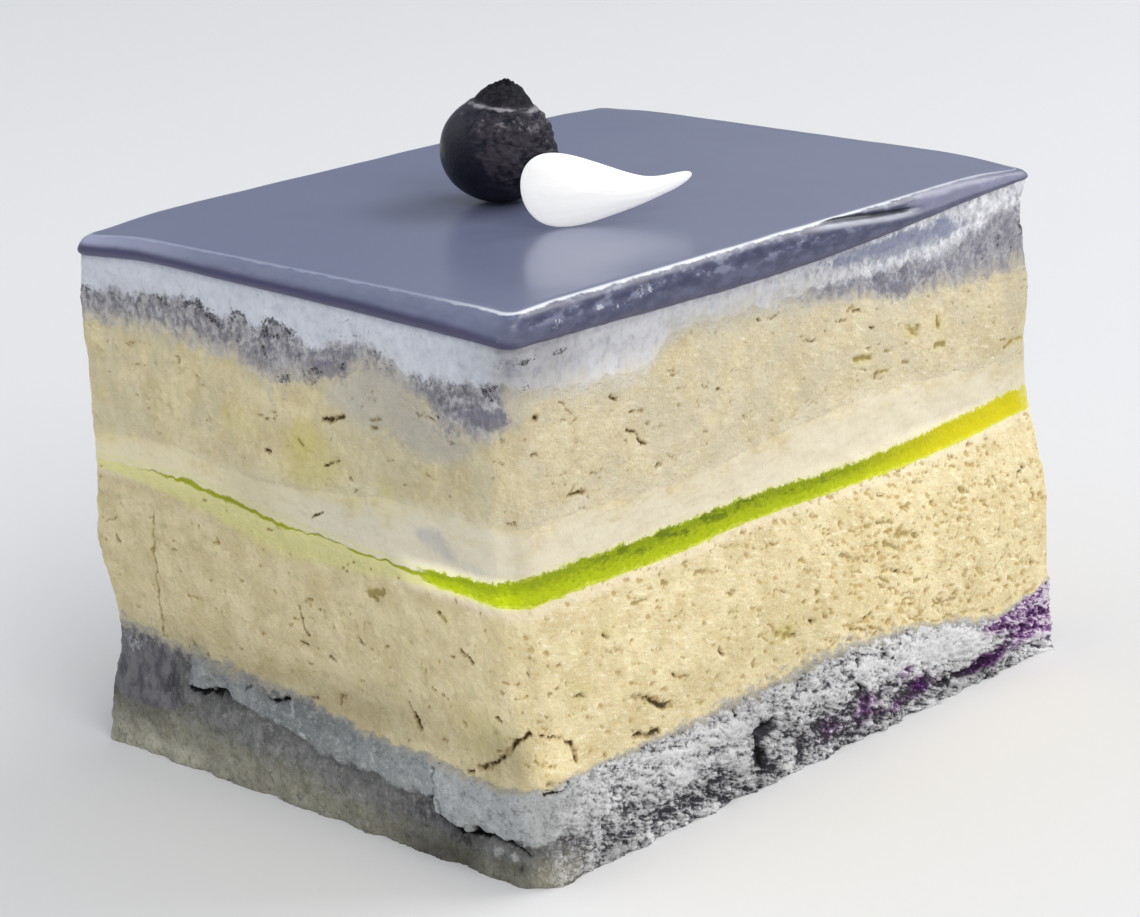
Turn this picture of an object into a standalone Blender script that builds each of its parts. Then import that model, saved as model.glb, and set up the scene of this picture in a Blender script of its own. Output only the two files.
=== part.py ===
"""Lemon blueberry cake slice: a block cut from a layered tray cake, with a berry and a petal on top.

Metres, +Z up. The slice rests on z = 0 and its cut faces look along -Y and +X. Sizes below are in
millimetres and become metres where a vertex is placed. A place on the outline is its distance round
the slice, s, from the corner at (-X, -Y) along the -Y face, then the +X, +Y and -X faces.
"""

import math

import bmesh
import bpy
import numpy as np
from mathutils import Matrix, Vector

MM = 0.001

# Driving sizes of the slice.
WIDTH = 68.0
DEPTH = 86.5
TOP = 60.25
TOP_FALL = 0.55
CORNER_RADIUS = 1.6
# How late the outward direction turns from one side to the next: higher turns nearer the corner.
CORNER_TURN = 8
GAP = 0.3
GIRTH = 2 * (WIDTH + DEPTH)

# Edges round the outline: one for every 2.6 mm, with one point on each corner.
WIDTH_EDGES = 26
DEPTH_EDGES = 34
SIDES = 2 * (WIDTH_EDGES + DEPTH_EDGES)
RIM = 0.16
STEP_CORNERS = [0, WIDTH_EDGES, WIDTH_EDGES + DEPTH_EDGES, 2 * WIDTH_EDGES + DEPTH_EDGES, SIDES]
PLACE_CORNERS = [0, WIDTH, WIDTH + DEPTH, 2 * WIDTH + DEPTH, GIRTH]

# How far each side stands out of the plain box at a height: (height, outward distance).
LEAN = {
    "-Y": [(0, 1.2), (5, 1.1), (12, 0.0), (22, 0.7), (31, 0.9), (45, 0.5), (56, 0.3), (61, 0.2)],
    "+X": [(0, 1.0), (5, 0.8), (12, 0.4), (22, 0.0), (31, -1.1), (45, -0.9), (56, -0.7), (61, -0.1)],
    "+Y": [(0, 1.0), (8, 1.2), (20, 1.4), (27, 0.4), (33, -0.7), (48, -0.8), (54, -1.9), (61, -0.7)],
    "-X": [(0, 1.3), (6, 0.6), (15, -0.7), (24, 0.8), (33, 0.0), (44, 0.1), (51, 0.5), (61, -0.3)],
}

# Height of each seam between two layers round the slice: (distance round, height).
BASE_TOP = [
    (0, 14.8), (14, 13.5), (25, 13.0), (31, 12.6), (44, 11.0), (53, 10.6), (60, 9.9), (70, 10.8),
    (92, 11.0), (106, 11.4), (119, 11.3), (129, 10.1), (136, 8.6), (142, 7.3), (148, 7.3), (154, 8.8),
    (176, 10.9), (198, 9.3), (222, 11.4), (244, 12.9), (266, 10.6), (290, 13.2),
]
CURD_BOTTOM = [
    (0, 33.8), (8, 34.0), (20, 33.3), (30, 31.9), (44, 31.3), (51, 30.5), (57, 29.9), (66, 29.8),
    (78, 30.4), (88, 30.0), (104, 30.6), (128, 29.5), (153, 30.4), (185, 31.0), (205, 30.2), (245, 31.8),
    (285, 33.1),
]
CURD_TOP = [
    (0, 34.8), (8, 35.0), (20, 34.4), (30, 33.1), (44, 32.3), (51, 31.8), (57, 32.2), (66, 32.3),
    (74, 33.4), (90, 33.5), (108, 33.1), (122, 32.3), (153, 33.4), (185, 33.6), (205, 32.9), (245, 34.1),
    (285, 34.9),
]
FILLING_TOP = [
    (0, 37.3), (12, 38.1), (30, 36.8), (52, 38.5), (68, 38.4), (100, 37.4), (112, 38.8), (134, 38.2),
    (153, 36.2), (180, 38.0), (222, 37.2), (250, 38.6), (285, 37.6),
]
BERRY_LAYER_BOTTOM = [
    (0, 49.8), (24, 50.4), (34, 47.9), (44, 51.0), (51, 51.2), (58, 46.8), (66, 48.8), (74, 51.2),
    (100, 52.6), (112, 52.2), (124, 50.1), (136, 49.3), (150, 47.9), (170, 49.4), (195, 50.6), (222, 49.8),
    (240, 50.8), (262, 49.0), (285, 50.4),
]
BERRY_LAYER_TOP = [
    (0, 53.9), (12, 55.1), (27, 55.1), (36, 53.2), (46, 55.0), (53, 52.3), (60, 53.0), (68, 53.2),
    (80, 52.6), (88, 53.2), (101, 53.8), (122, 53.3), (134, 52.5), (152, 55.2), (170, 54.3), (195, 53.4),
    (222, 54.5), (250, 53.2), (280, 54.6),
]
GLAZE_BOTTOM = [
    (0, 57.5), (6, 58.2), (42, 58.0), (68, 57.0), (92, 56.5), (125, 56.3), (153, 57.6), (195, 57.1),
    (250, 57.3), (285, 57.8),
]

# Each layer: name, lower seam, upper seam, belly, roughness, wall rows, colour, surface roughness.
LAYERS = [
    ("blueberry_base", None, BASE_TOP, 0.1, 0.5, 5, (0.22, 0.22, 0.24), 0.85),
    ("lower_sponge", BASE_TOP, CURD_BOTTOM, 0.1, 0.16, 4, (0.72, 0.60, 0.34), 0.9),
    ("lemon_curd", CURD_BOTTOM, CURD_TOP, 0.1, 0.06, 2, (0.38, 0.44, 0.02), 0.35),
    ("cream_filling", CURD_TOP, FILLING_TOP, 0.1, 0.08, 2, (0.78, 0.72, 0.58), 0.6),
    ("upper_sponge", FILLING_TOP, BERRY_LAYER_BOTTOM, 0.1, 0.14, 4, (0.63, 0.54, 0.34), 0.85),
    ("blueberry_layer", BERRY_LAYER_BOTTOM, BERRY_LAYER_TOP, 0.25, 0.25, 2, (0.22, 0.21, 0.25), 0.8),
    ("top_cream", BERRY_LAYER_TOP, GLAZE_BOTTOM, 0.0, 0.08, 2, (0.60, 0.63, 0.68), 0.5),
    ("mirror_glaze", GLAZE_BOTTOM, None, 0.0, 0.03, 1, (0.07, 0.07, 0.14), 0.08),
]

# Edges that are shaped, bottom to top: (share of the layer's height, outward distance).
EDGES = {
    "mirror_glaze": [(0, -0.5), (0.12, 0.2), (0.3, 0.45), (0.7, 0.2), (0.92, -0.15), (1, -0.6)],
    "blueberry_base": [(0, -0.4), (0.12, 0.0), (1, 0.0)],
}

# Lumps in the walls: (waves round the slice, radians a millimetre up it, height).
CRAGS = [(31, 0.5, 0.5), (53, 0.8, 0.35), (87, 1.3, 0.25)]

# The berry: a squat ball whose crown looks up, at its place on the glaze.
BERRY_PLACE = (-3.4, -7.0)
BERRY_RADIUS = 6.65
BERRY_SQUAT = 0.9
BERRY_LEAN = 12
BERRY_MERIDIANS = 35
BERRY_BANDS = 20
CROWN_ANGLE = 22
CROWN_HEIGHT = 1.9
CROWN_PIT = 1.3
CROWN_LOBES = 5
CROWN_LOBE_DEPTH = 0.3
CROWN_WIDTH = 5.5
BERRY_FLAT = 0.25

# The petal: it stands on its lower edge, from its wide end to its raised tip.
PETAL_WIDE_END = (9.0, -16.3)
PETAL_TIP = (18.6, 0.5)
PETAL_LENGTH_CELLS = 18
PETAL_WIDTH_CELLS = 8
PETAL_THICKNESS = 0.7
PETAL_HALF_WIDTH = 6.4
PETAL_TAPER = 1.65
PETAL_STALK = 0.6
PETAL_CUP = 1.7
PETAL_LEAN = 12
PETAL_REST = 0.45
PETAL_AXIS = [(0, 4.4), (0.2, 4.05), (0.45, 3.5), (0.75, 3.2), (0.9, 3.75), (1, 4.3)]


def line_through(points, place, period=None):
    """Height of the smooth line through the points at a place: each span is a cubic whose end
    slopes are those of the chord between the two neighbours."""
    px, pz = (list(column) for column in zip(*points))
    if period:
        px = [px[-2] - period, px[-1] - period] + px + [px[0] + period, px[1] + period]
        pz = pz[-2:] + pz + pz[:2]
    px = np.array(px, float)
    pz = np.array(pz, float)
    slope = np.gradient(pz, px)
    i = np.clip(np.searchsorted(px, place) - 1, 0, len(px) - 2)
    span = px[i + 1] - px[i]
    t = np.clip((place - px[i]) / span, 0, 1)
    bend = slope[i] * (1 - t) - slope[i + 1] * t
    rise = pz[i + 1] - pz[i]
    return pz[i] + rise * t * t * (3 - 2 * t) + span * t * (1 - t) * bend


def top_height(y):
    """The glaze falls a little towards +Y."""
    return TOP - TOP_FALL * y / (DEPTH / 2)


def outline(s, z):
    """Point and outward direction on the slice's side, s round it at height z."""
    u = np.interp(s, PLACE_CORNERS, [-1, 1, 1, -1, -1])
    v = np.interp(s, PLACE_CORNERS, [-1, -1, 1, 1, -1])
    sides = {side: line_through(points, z) for side, points in LEAN.items()}
    x = u * WIDTH / 2 + (1 + u) / 2 * sides["+X"] - (1 - u) / 2 * sides["-X"]
    y = v * DEPTH / 2 + (1 + v) / 2 * sides["+Y"] - (1 - v) / 2 * sides["-Y"]
    half_x = WIDTH / 2 + (sides["+X"] if u > 0 else sides["-X"])
    half_y = DEPTH / 2 + (sides["+Y"] if v > 0 else sides["-Y"])
    inner_x = max(0.0, abs(x) - (half_x - CORNER_RADIUS))
    inner_y = max(0.0, abs(y) - (half_y - CORNER_RADIUS))
    if inner_x > 0 and inner_y > 0:
        pull = 1 - max(inner_x, inner_y) / math.hypot(inner_x, inner_y)
        x -= math.copysign(inner_x * pull, x)
        y -= math.copysign(inner_y * pull, y)
    outward = Vector((u * abs(u) ** CORNER_TURN, v * abs(v) ** CORNER_TURN, 0)).normalized()
    return Vector((x, y, z)), outward


def crag(s, z, seed):
    """Unevenness between about -1 and 1: three grids of lumps, each the product of a wave that runs
    round the slice and a wave that climbs its side."""
    return sum(
        height * math.sin(2 * math.pi * turns * s / GIRTH + 1.7 * seed) * math.cos(climb * z + seed)
        for turns, climb, height in CRAGS
    )


def new_object(name, mesh, colour, roughness):
    """Adds a named object with its own material to the slice's collection."""
    material = bpy.data.materials.new(name)
    material.use_nodes = True
    surface = material.node_tree.nodes["Principled BSDF"]
    surface.inputs["Base Color"].default_value = (*colour, 1)
    surface.inputs["Roughness"].default_value = roughness
    surface.inputs["Metallic"].default_value = 0
    mesh.materials.append(material)
    made = bpy.data.objects.new(name, mesh)
    bpy.data.collections["cake_slice"].objects.link(made)
    return made


def seam_height(seam, s, inside):
    """Height of a seam at s: its own line at the side, level inside the slice."""
    level = sum(z for _, z in seam) / len(seam)
    return level if inside else float(line_through(seam, s, GIRTH))


def step_round(vert):
    """Which of the drum's sides a point stands at, counted from the -X direction."""
    return round(math.atan2(-vert.co.y, -vert.co.x) / (2 * math.pi) * SIDES) % SIDES


def is_inside(vert):
    """True for the points of a rim's inner ring."""
    return vert.co.xy.length < 1 - RIM / 2


def make_drum(shares, rim_below, rim_above):
    """A drum of radius 1 and height 1 with rings of points at shares of its height. A rim on a cap
    is a band of quads round a middle; each is split from its outer point to the next inner one, so
    that two layers that meet there are faceted alike."""
    drum = bmesh.new()
    bmesh.ops.create_cone(drum, cap_ends=True, segments=SIDES, radius1=1, radius2=1, depth=1)
    bmesh.ops.translate(drum, verts=drum.verts, vec=(0, 0, 0.5))
    for share in shares[1:-1]:
        everything = drum.verts[:] + drum.edges[:] + drum.faces[:]
        bmesh.ops.bisect_plane(drum, geom=everything, plane_co=(0, 0, share), plane_no=(0, 0, 1))
    for cap in [face for face in drum.faces if len(face.verts) == SIDES]:
        if rim_above if cap.normal.z > 0 else rim_below:
            band = bmesh.ops.inset_individual(drum, faces=[cap], thickness=RIM, use_even_offset=False)
            for quad in band["faces"]:
                steps = {(step_round(vert), is_inside(vert)): vert for vert in quad.verts}
                outer = next(s for s, inside in steps if not inside and ((s + 1) % SIDES, True) in steps)
                bmesh.utils.face_split(quad, steps[outer, False], steps[(outer + 1) % SIDES, True])
    return drum


def layer_point(vert, lower, upper, belly, rough, edge, seed):
    """Where a drum's point goes: round the outline at its share of the layer's height, pushed out
    by the layer's belly, its crags and the shape of its edge."""
    inside = is_inside(vert)
    share = vert.co.z
    s = float(np.interp(step_round(vert), STEP_CORNERS, PLACE_CORNERS))
    low = seam_height(lower, s, inside) + GAP / 2 if lower else 0.0
    high = seam_height(upper, s, inside) - GAP / 2 if upper else top_height(outline(s, TOP)[0].y)
    point, outward = outline(s, low + (high - low) * share)
    if inside:
        point.xy *= 1 - 2 * RIM
        return point
    bulge = belly * 4 * share * (1 - share)
    point += outward * (bulge + rough * crag(s, point.z, seed) + line_through(edge, share))
    if not upper and share > 1 - 1e-4:
        point.z = top_height(point.y)
    return point


def make_layer(name, lower, upper, belly, rough, rows, colour, roughness, seed):
    """A layer is a drum moved on to the outline of the slice, between its two seams."""
    edge = EDGES.get(name, [(0, 0), (1, 0)])
    shares = sorted({share for share, _ in edge} | {k / rows for k in range(rows + 1)})
    drum = make_drum(shares, bool(lower), bool(upper))
    places = [layer_point(vert, lower, upper, belly, rough, edge, seed) for vert in drum.verts]
    for vert, place in zip(drum.verts, places):
        vert.co = place * MM
    mesh = bpy.data.meshes.new(name)
    bmesh.ops.recalc_face_normals(drum, faces=drum.faces)
    drum.to_mesh(mesh)
    drum.free()
    return new_object(name, mesh, colour, roughness)


def make_berry():
    """A ball with its pole at the crown: a ring of sepals stands round a pit at the pole, and the
    under side is flattened where it rests."""
    ball = bmesh.new()
    bmesh.ops.create_uvsphere(ball, u_segments=BERRY_MERIDIANS, v_segments=BERRY_BANDS, radius=1)
    for vert in ball.verts:
        polar = math.degrees(math.acos(max(-1.0, min(1.0, vert.co.z))))
        turn = math.atan2(vert.co.y, vert.co.x)
        lobes = 1 - CROWN_LOBE_DEPTH * (1 - math.cos(CROWN_LOBES * turn))
        rim = CROWN_HEIGHT * lobes * math.exp(-(((polar - CROWN_ANGLE) / CROWN_WIDTH) ** 2))
        pit = CROWN_PIT * max(0.0, 1 - (polar / (CROWN_ANGLE - CROWN_WIDTH)) ** 4)
        vert.co.z *= BERRY_SQUAT
        vert.co *= BERRY_RADIUS
        vert.co += Vector((0, 0, rim - pit))
    bmesh.ops.rotate(ball, verts=ball.verts, matrix=Matrix.Rotation(math.radians(BERRY_LEAN), 3, (-1, 1, 0)))
    lowest = min(vert.co.z for vert in ball.verts)
    floor = lowest + BERRY_FLAT
    for vert in ball.verts:
        vert.co.z = max(vert.co.z, floor)
    x, y = BERRY_PLACE
    rest = top_height(y - BERRY_RADIUS) + GAP
    bmesh.ops.translate(ball, verts=ball.verts, vec=(x, y, rest - floor))
    bmesh.ops.scale(ball, verts=ball.verts, vec=(MM, MM, MM))
    mesh = bpy.data.meshes.new("blueberry")
    ball.to_mesh(mesh)
    ball.free()
    mesh.shade_smooth()
    return new_object("blueberry", mesh, (0.02, 0.02, 0.035), 0.5)


def petal_point(along, across):
    """Point of the petal's middle surface. along runs -1 to 1 from wide end to tip and across -1 to
    1 from lower to upper edge, on a disc; the disc's width is scaled by a power of the distance to
    the tip, and its middle bulges outwards."""
    share = (along + 1) / 2
    start = Vector((*PETAL_WIDE_END, 0))
    end = Vector((*PETAL_TIP, 0))
    axis = (end - start).normalized()
    bulge = Vector((axis.y, -axis.x, 0))
    width = PETAL_HALF_WIDTH * (1 - share) ** PETAL_TAPER + PETAL_STALK
    cup = PETAL_CUP * (1 - along * along - across * across) * (1 - share) ** 0.6
    lean = math.radians(PETAL_LEAN)
    point = start.lerp(end, share)
    point += bulge * (cup * math.cos(lean) - width * across * math.sin(lean))
    height = line_through(PETAL_AXIS, share) + width * across * math.cos(lean)
    return point + Vector((0, 0, top_height(point.y) + height))


def make_petal():
    """A grid pressed into a disc and then into the petal's outline, thickened evenly."""
    grid = bmesh.new()
    bmesh.ops.create_grid(grid, x_segments=PETAL_LENGTH_CELLS, y_segments=PETAL_WIDTH_CELLS, size=1)
    bmesh.ops.triangulate(grid, faces=grid.faces)
    for vert in grid.verts:
        a, b = vert.co.x, vert.co.y
        along = a * math.sqrt(1 - b * b / 2)
        across = b * math.sqrt(1 - a * a / 2)
        vert.co = petal_point(along, across) * MM
    foot = min(grid.verts, key=lambda vert: vert.co.z)
    rest = (top_height(foot.co.y / MM) + PETAL_REST) * MM
    bmesh.ops.translate(grid, verts=grid.verts, vec=(0, 0, rest - foot.co.z))
    mesh = bpy.data.meshes.new("white_petal")
    grid.to_mesh(mesh)
    grid.free()
    petal = new_object("white_petal", mesh, (0.86, 0.86, 0.84), 0.5)
    shell = petal.modifiers.new("thickness", "SOLIDIFY")
    shell.thickness = PETAL_THICKNESS * MM
    shell.offset = 0
    return petal


def main():
    for old in list(bpy.data.objects):
        bpy.data.objects.remove(old)
    bpy.context.scene.collection.children.link(bpy.data.collections.new("cake_slice"))
    for seed, layer in enumerate(LAYERS):
        make_layer(*layer, seed)
    make_berry()
    make_petal()


main()
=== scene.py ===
"""Looks of a lemon blueberry cake slice: crumb, curd, creams, fruit, glaze, berry and petal.

Every piece is a closed surface worked out in numpy in millimetres and put into its mesh in metres.
A place on a side of the slice is its distance round it, s, from the corner at (-X, -Y) along the
-Y, +X, +Y and -X faces, and its height, z.
"""

import math
from itertools import product

import bpy
import numpy as np
from mathutils import Matrix, Vector


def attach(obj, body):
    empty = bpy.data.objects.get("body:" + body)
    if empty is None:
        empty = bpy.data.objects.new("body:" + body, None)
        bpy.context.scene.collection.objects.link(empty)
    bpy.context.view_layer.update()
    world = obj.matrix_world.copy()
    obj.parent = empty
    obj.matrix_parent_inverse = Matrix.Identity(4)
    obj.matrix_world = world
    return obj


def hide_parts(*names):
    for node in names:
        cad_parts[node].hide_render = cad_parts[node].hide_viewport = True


bl_info = {
    "name": "Cake Slice",
    "version": (1, 0, 0),
    "blender": (4, 5, 0),
    "location": "View3D > Sidebar > Cake",
    "description": "Builds a glazed, layered cake slice round its solids",
    "category": "Object",
}

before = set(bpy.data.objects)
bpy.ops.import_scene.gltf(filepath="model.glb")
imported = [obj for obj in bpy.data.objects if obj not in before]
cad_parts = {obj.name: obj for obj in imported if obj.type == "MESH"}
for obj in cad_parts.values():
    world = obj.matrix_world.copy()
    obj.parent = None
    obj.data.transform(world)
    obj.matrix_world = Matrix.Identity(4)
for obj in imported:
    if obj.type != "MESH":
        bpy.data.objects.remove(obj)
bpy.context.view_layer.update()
MM = 0.001

# The slice, in millimetres.
WIDTH = 68.0
DEPTH = 86.5
TOP = 60.25
TOP_FALL = 0.55
GLAZE_RADIUS = 1.6
# Radius of the layers' corners: (distance round, radius).
LAYER_RADIUS = [(50, 1.4), (60, 3.2), (76, 3.2), (90, 1.4)]
GAP = 0.3
GIRTH = 2 * (WIDTH + DEPTH)
CORNERS = [0, WIDTH, WIDTH + DEPTH, 2 * WIDTH + DEPTH, GIRTH]
# Columns of points on each face.
COLUMNS = [310, 392, 174, 222]
# How far each layer goes on past its seams, drawing in behind its neighbour, and the insets of the
# rings that close it.
PAST_SEAM = (0.5, 0.25, 0.1)
DRAWN_IN = 0.35
INSETS = (3.0, 0.9, 0.25)
# Height of the crumble and share of the waves on every layer.
CRUMBLE = 0.1
WAVES = 0.12

# How far each face stands out: (height, distance).
LEAN = {
    "-Y": [(0, 1.2), (5, 1.1), (12, 0.0), (22, 0.7), (31, 0.9), (45, 0.5), (56, 0.3), (61, 0.2)],
    "+X": [(0, 1.0), (5, 0.8), (12, 0.4), (22, 0.0), (31, -1.1), (45, -0.9), (56, -0.7), (61, -0.1)],
    "+Y": [(0, 1.0), (8, 1.2), (20, 1.4), (27, 0.4), (33, -0.7), (48, -0.8), (54, -1.9), (61, -0.7)],
    "-X": [(0, 1.3), (6, 0.6), (15, -0.7), (24, 0.8), (33, 0.0), (44, 0.1), (51, 0.5), (61, -0.3)],
}
# Unevenness of the walls in waves: (turns round the slice, climb, height).
CRAGS = [(31, 0.5, 0.5), (53, 0.8, 0.35), (87, 1.3, 0.25)]

# Height of each seam between two layers: (distance round, height).
BASE_TOP = [
    (0, 14.8), (14, 13.5), (20, 13.1), (25, 13), (31, 12.6), (44, 11), (53, 10.6), (60, 9.9), (70, 10.8),
    (92, 11), (106, 11.4), (119, 11.3), (129, 10.1), (136, 8.6), (142, 7.3), (148, 7.3), (154, 8.8),
    (176, 10.9), (198, 9.3), (222, 11.4), (244, 12.9), (266, 10.6), (290, 13.2),
]
CURD_BOTTOM = [
    (0, 33.8), (8, 34), (20, 33.6), (30, 32.4), (44, 31.5), (51, 31), (57, 30.6), (63, 30.3), (68, 30),
    (78, 29.9), (90, 29.6), (104, 29.9), (118, 29.5), (132, 29.2), (143, 29.5), (154, 30.2), (185, 31),
    (205, 30.2), (245, 31.8), (285, 33.1),
]
CURD_TOP = [
    (0, 34.8), (8, 35), (20, 34.9), (30, 33.7), (44, 32.6), (51, 32.2), (57, 32.2), (63, 32.5), (68, 33),
    (78, 32.9), (90, 32.7), (104, 32.7), (118, 31.9), (130, 31.8), (143, 32.4), (154, 33), (185, 33.6),
    (205, 32.9), (245, 34.1), (285, 34.9),
]
FILLING_TOP = [
    (0, 37.3), (12, 38.1), (30, 36.8), (52, 38.5), (68, 38.4), (100, 37.4), (112, 38.4), (134, 38.2),
    (153, 36.4), (180, 38), (222, 37.2), (250, 38.6), (285, 37.6),
]
FRUIT_BOTTOM = [
    (0, 50.2), (18, 50.3), (27, 49.4), (34, 48), (39, 49.6), (44, 51), (51, 51.4), (56, 49.4), (60, 47),
    (66, 47.8), (72, 50.6), (78, 50.8), (89, 50.8), (92, 52.4), (104, 52.4), (112, 51.8), (124, 49.6),
    (130, 48.6), (136, 48.1), (150, 47.2), (170, 49.4), (195, 50.6), (222, 49.8), (240, 50.8), (262, 49),
    (285, 50.4),
]
FRUIT_TOP = [
    (0, 54.2), (12, 54.8), (20, 55.3), (25, 54), (28, 54.9), (31, 54), (34, 54.9), (38.5, 53), (44, 54.2),
    (48, 54.7), (53, 52.7), (60, 52.9), (67, 53.2), (74, 52), (80, 51.4), (89, 51.3), (92, 53.2), (101, 53.4),
    (112, 53), (122, 53), (134, 52.4), (140, 52.5), (145, 53.8), (152, 55.4), (170, 54.3), (195, 53.4),
    (222, 54.5), (250, 53.2), (280, 54.6),
]
GLAZE_BOTTOM = [
    (0, 57.6), (12, 58.4), (24, 58.2), (42, 57.8), (60, 57.3), (68, 57), (80, 56.6), (92, 56.2), (106, 55.8),
    (120, 56), (130, 56.4), (142, 57.2), (153, 57.7), (195, 57.1), (250, 57.3), (285, 57.8),
]

# Unevenness of each seam: (points, height of its wobble, length of its wobble, seed).
SEAMS = {
    "base top": (BASE_TOP, 0.45, 1.6, 11),
    "curd bottom": (CURD_BOTTOM, 0.12, 1.4, 12),
    "curd top": (CURD_TOP, 0.2, 0.8, 13),
    "filling top": (FILLING_TOP, 0.3, 3.0, 14),
    "fruit bottom": (FRUIT_BOTTOM, 0.5, 1.5, 15),
    "fruit top": (FRUIT_TOP, 0.7, 1.3, 16),
    "glaze bottom": (GLAZE_BOTTOM, 0.05, 4.0, 17),
}

# How much of the fruit layer is fruit, round the slice: (distance round, share).
FRUIT_COVER = [
    (0, 1), (45, 1), (49, 0.75), (53, 0.6), (57, 0.95), (65, 0.95), (68, 0.5), (73, 0.15), (90, 0),
    (108, 0.15), (114, 0.5), (122, 0.9), (154, 1), (176, 0.8), (192, 0.3), (206, 0.2), (222, 0.85), (250, 1),
    (270, 0.5), (290, 0.9), (GIRTH, 1),
]

# Under edge of the base's pale ledge, and how far the ledge stands out: (distance round, value).
LEDGE_LINE = [
    (0, 9), (14, 9.4), (20, 10.3), (24, 9.2), (29, 8.6), (34, 7.8), (38, 7.1), (45, 6.8), (52.6, 6.6),
    (53.2, 4.8), (58, 4.5), (61.5, 5.2), (64, 4.8), (67, 4.7), (71, 5.2), (75, 4.4), (80, 4.4), (90, 4.3),
    (110, 4), (154, 3), (180, 5), (200, 4.5), (222, 6.2), (246, 7.4), (270, 6), (290, 8), (GIRTH, 9),
]
LEDGE_PROUD = [
    (0, 0), (13, 0), (15, 0.6), (21, 0.6), (26, 0.25), (46, 0.3), (52, 0.45), (54, 0.8), (64, 0.7), (70, 0.4),
    (78, 0.1), (154, 0), (170, 0.3), (200, 0.5), (222, 0.6), (250, 0.7), (280, 0.5), (300, 0.1), (GIRTH, 0),
]
# Depth of the gap under the ledge, painted black in it as shade, and how light the ledge is:
# (distance round, value).
LEDGE_GAP = [
    (0, 0), (12.5, 0), (14, 1), (20, 1), (21, 0.1), (44, 0.05), (50, 0.1), (53, 1), (61, 0.9), (64, 0.4),
    (68, 0.2), (72, 0.1), (78, 0), (154, 0), (200, 0.5), (240, 1), (262, 0.6), (300, 0), (GIRTH, 0),
]
LEDGE_LIGHT = [
    (0, 0.3), (13, 0.5), (22, 0.5), (27, 0.1), (36, 0.15), (44, 0.42), (52, 0.4), (53.5, 0.8), (66, 1),
    (90, 0.95), (154, 0.9), (200, 0.7), (250, 0.4), (GIRTH, 0.3),
]
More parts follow.
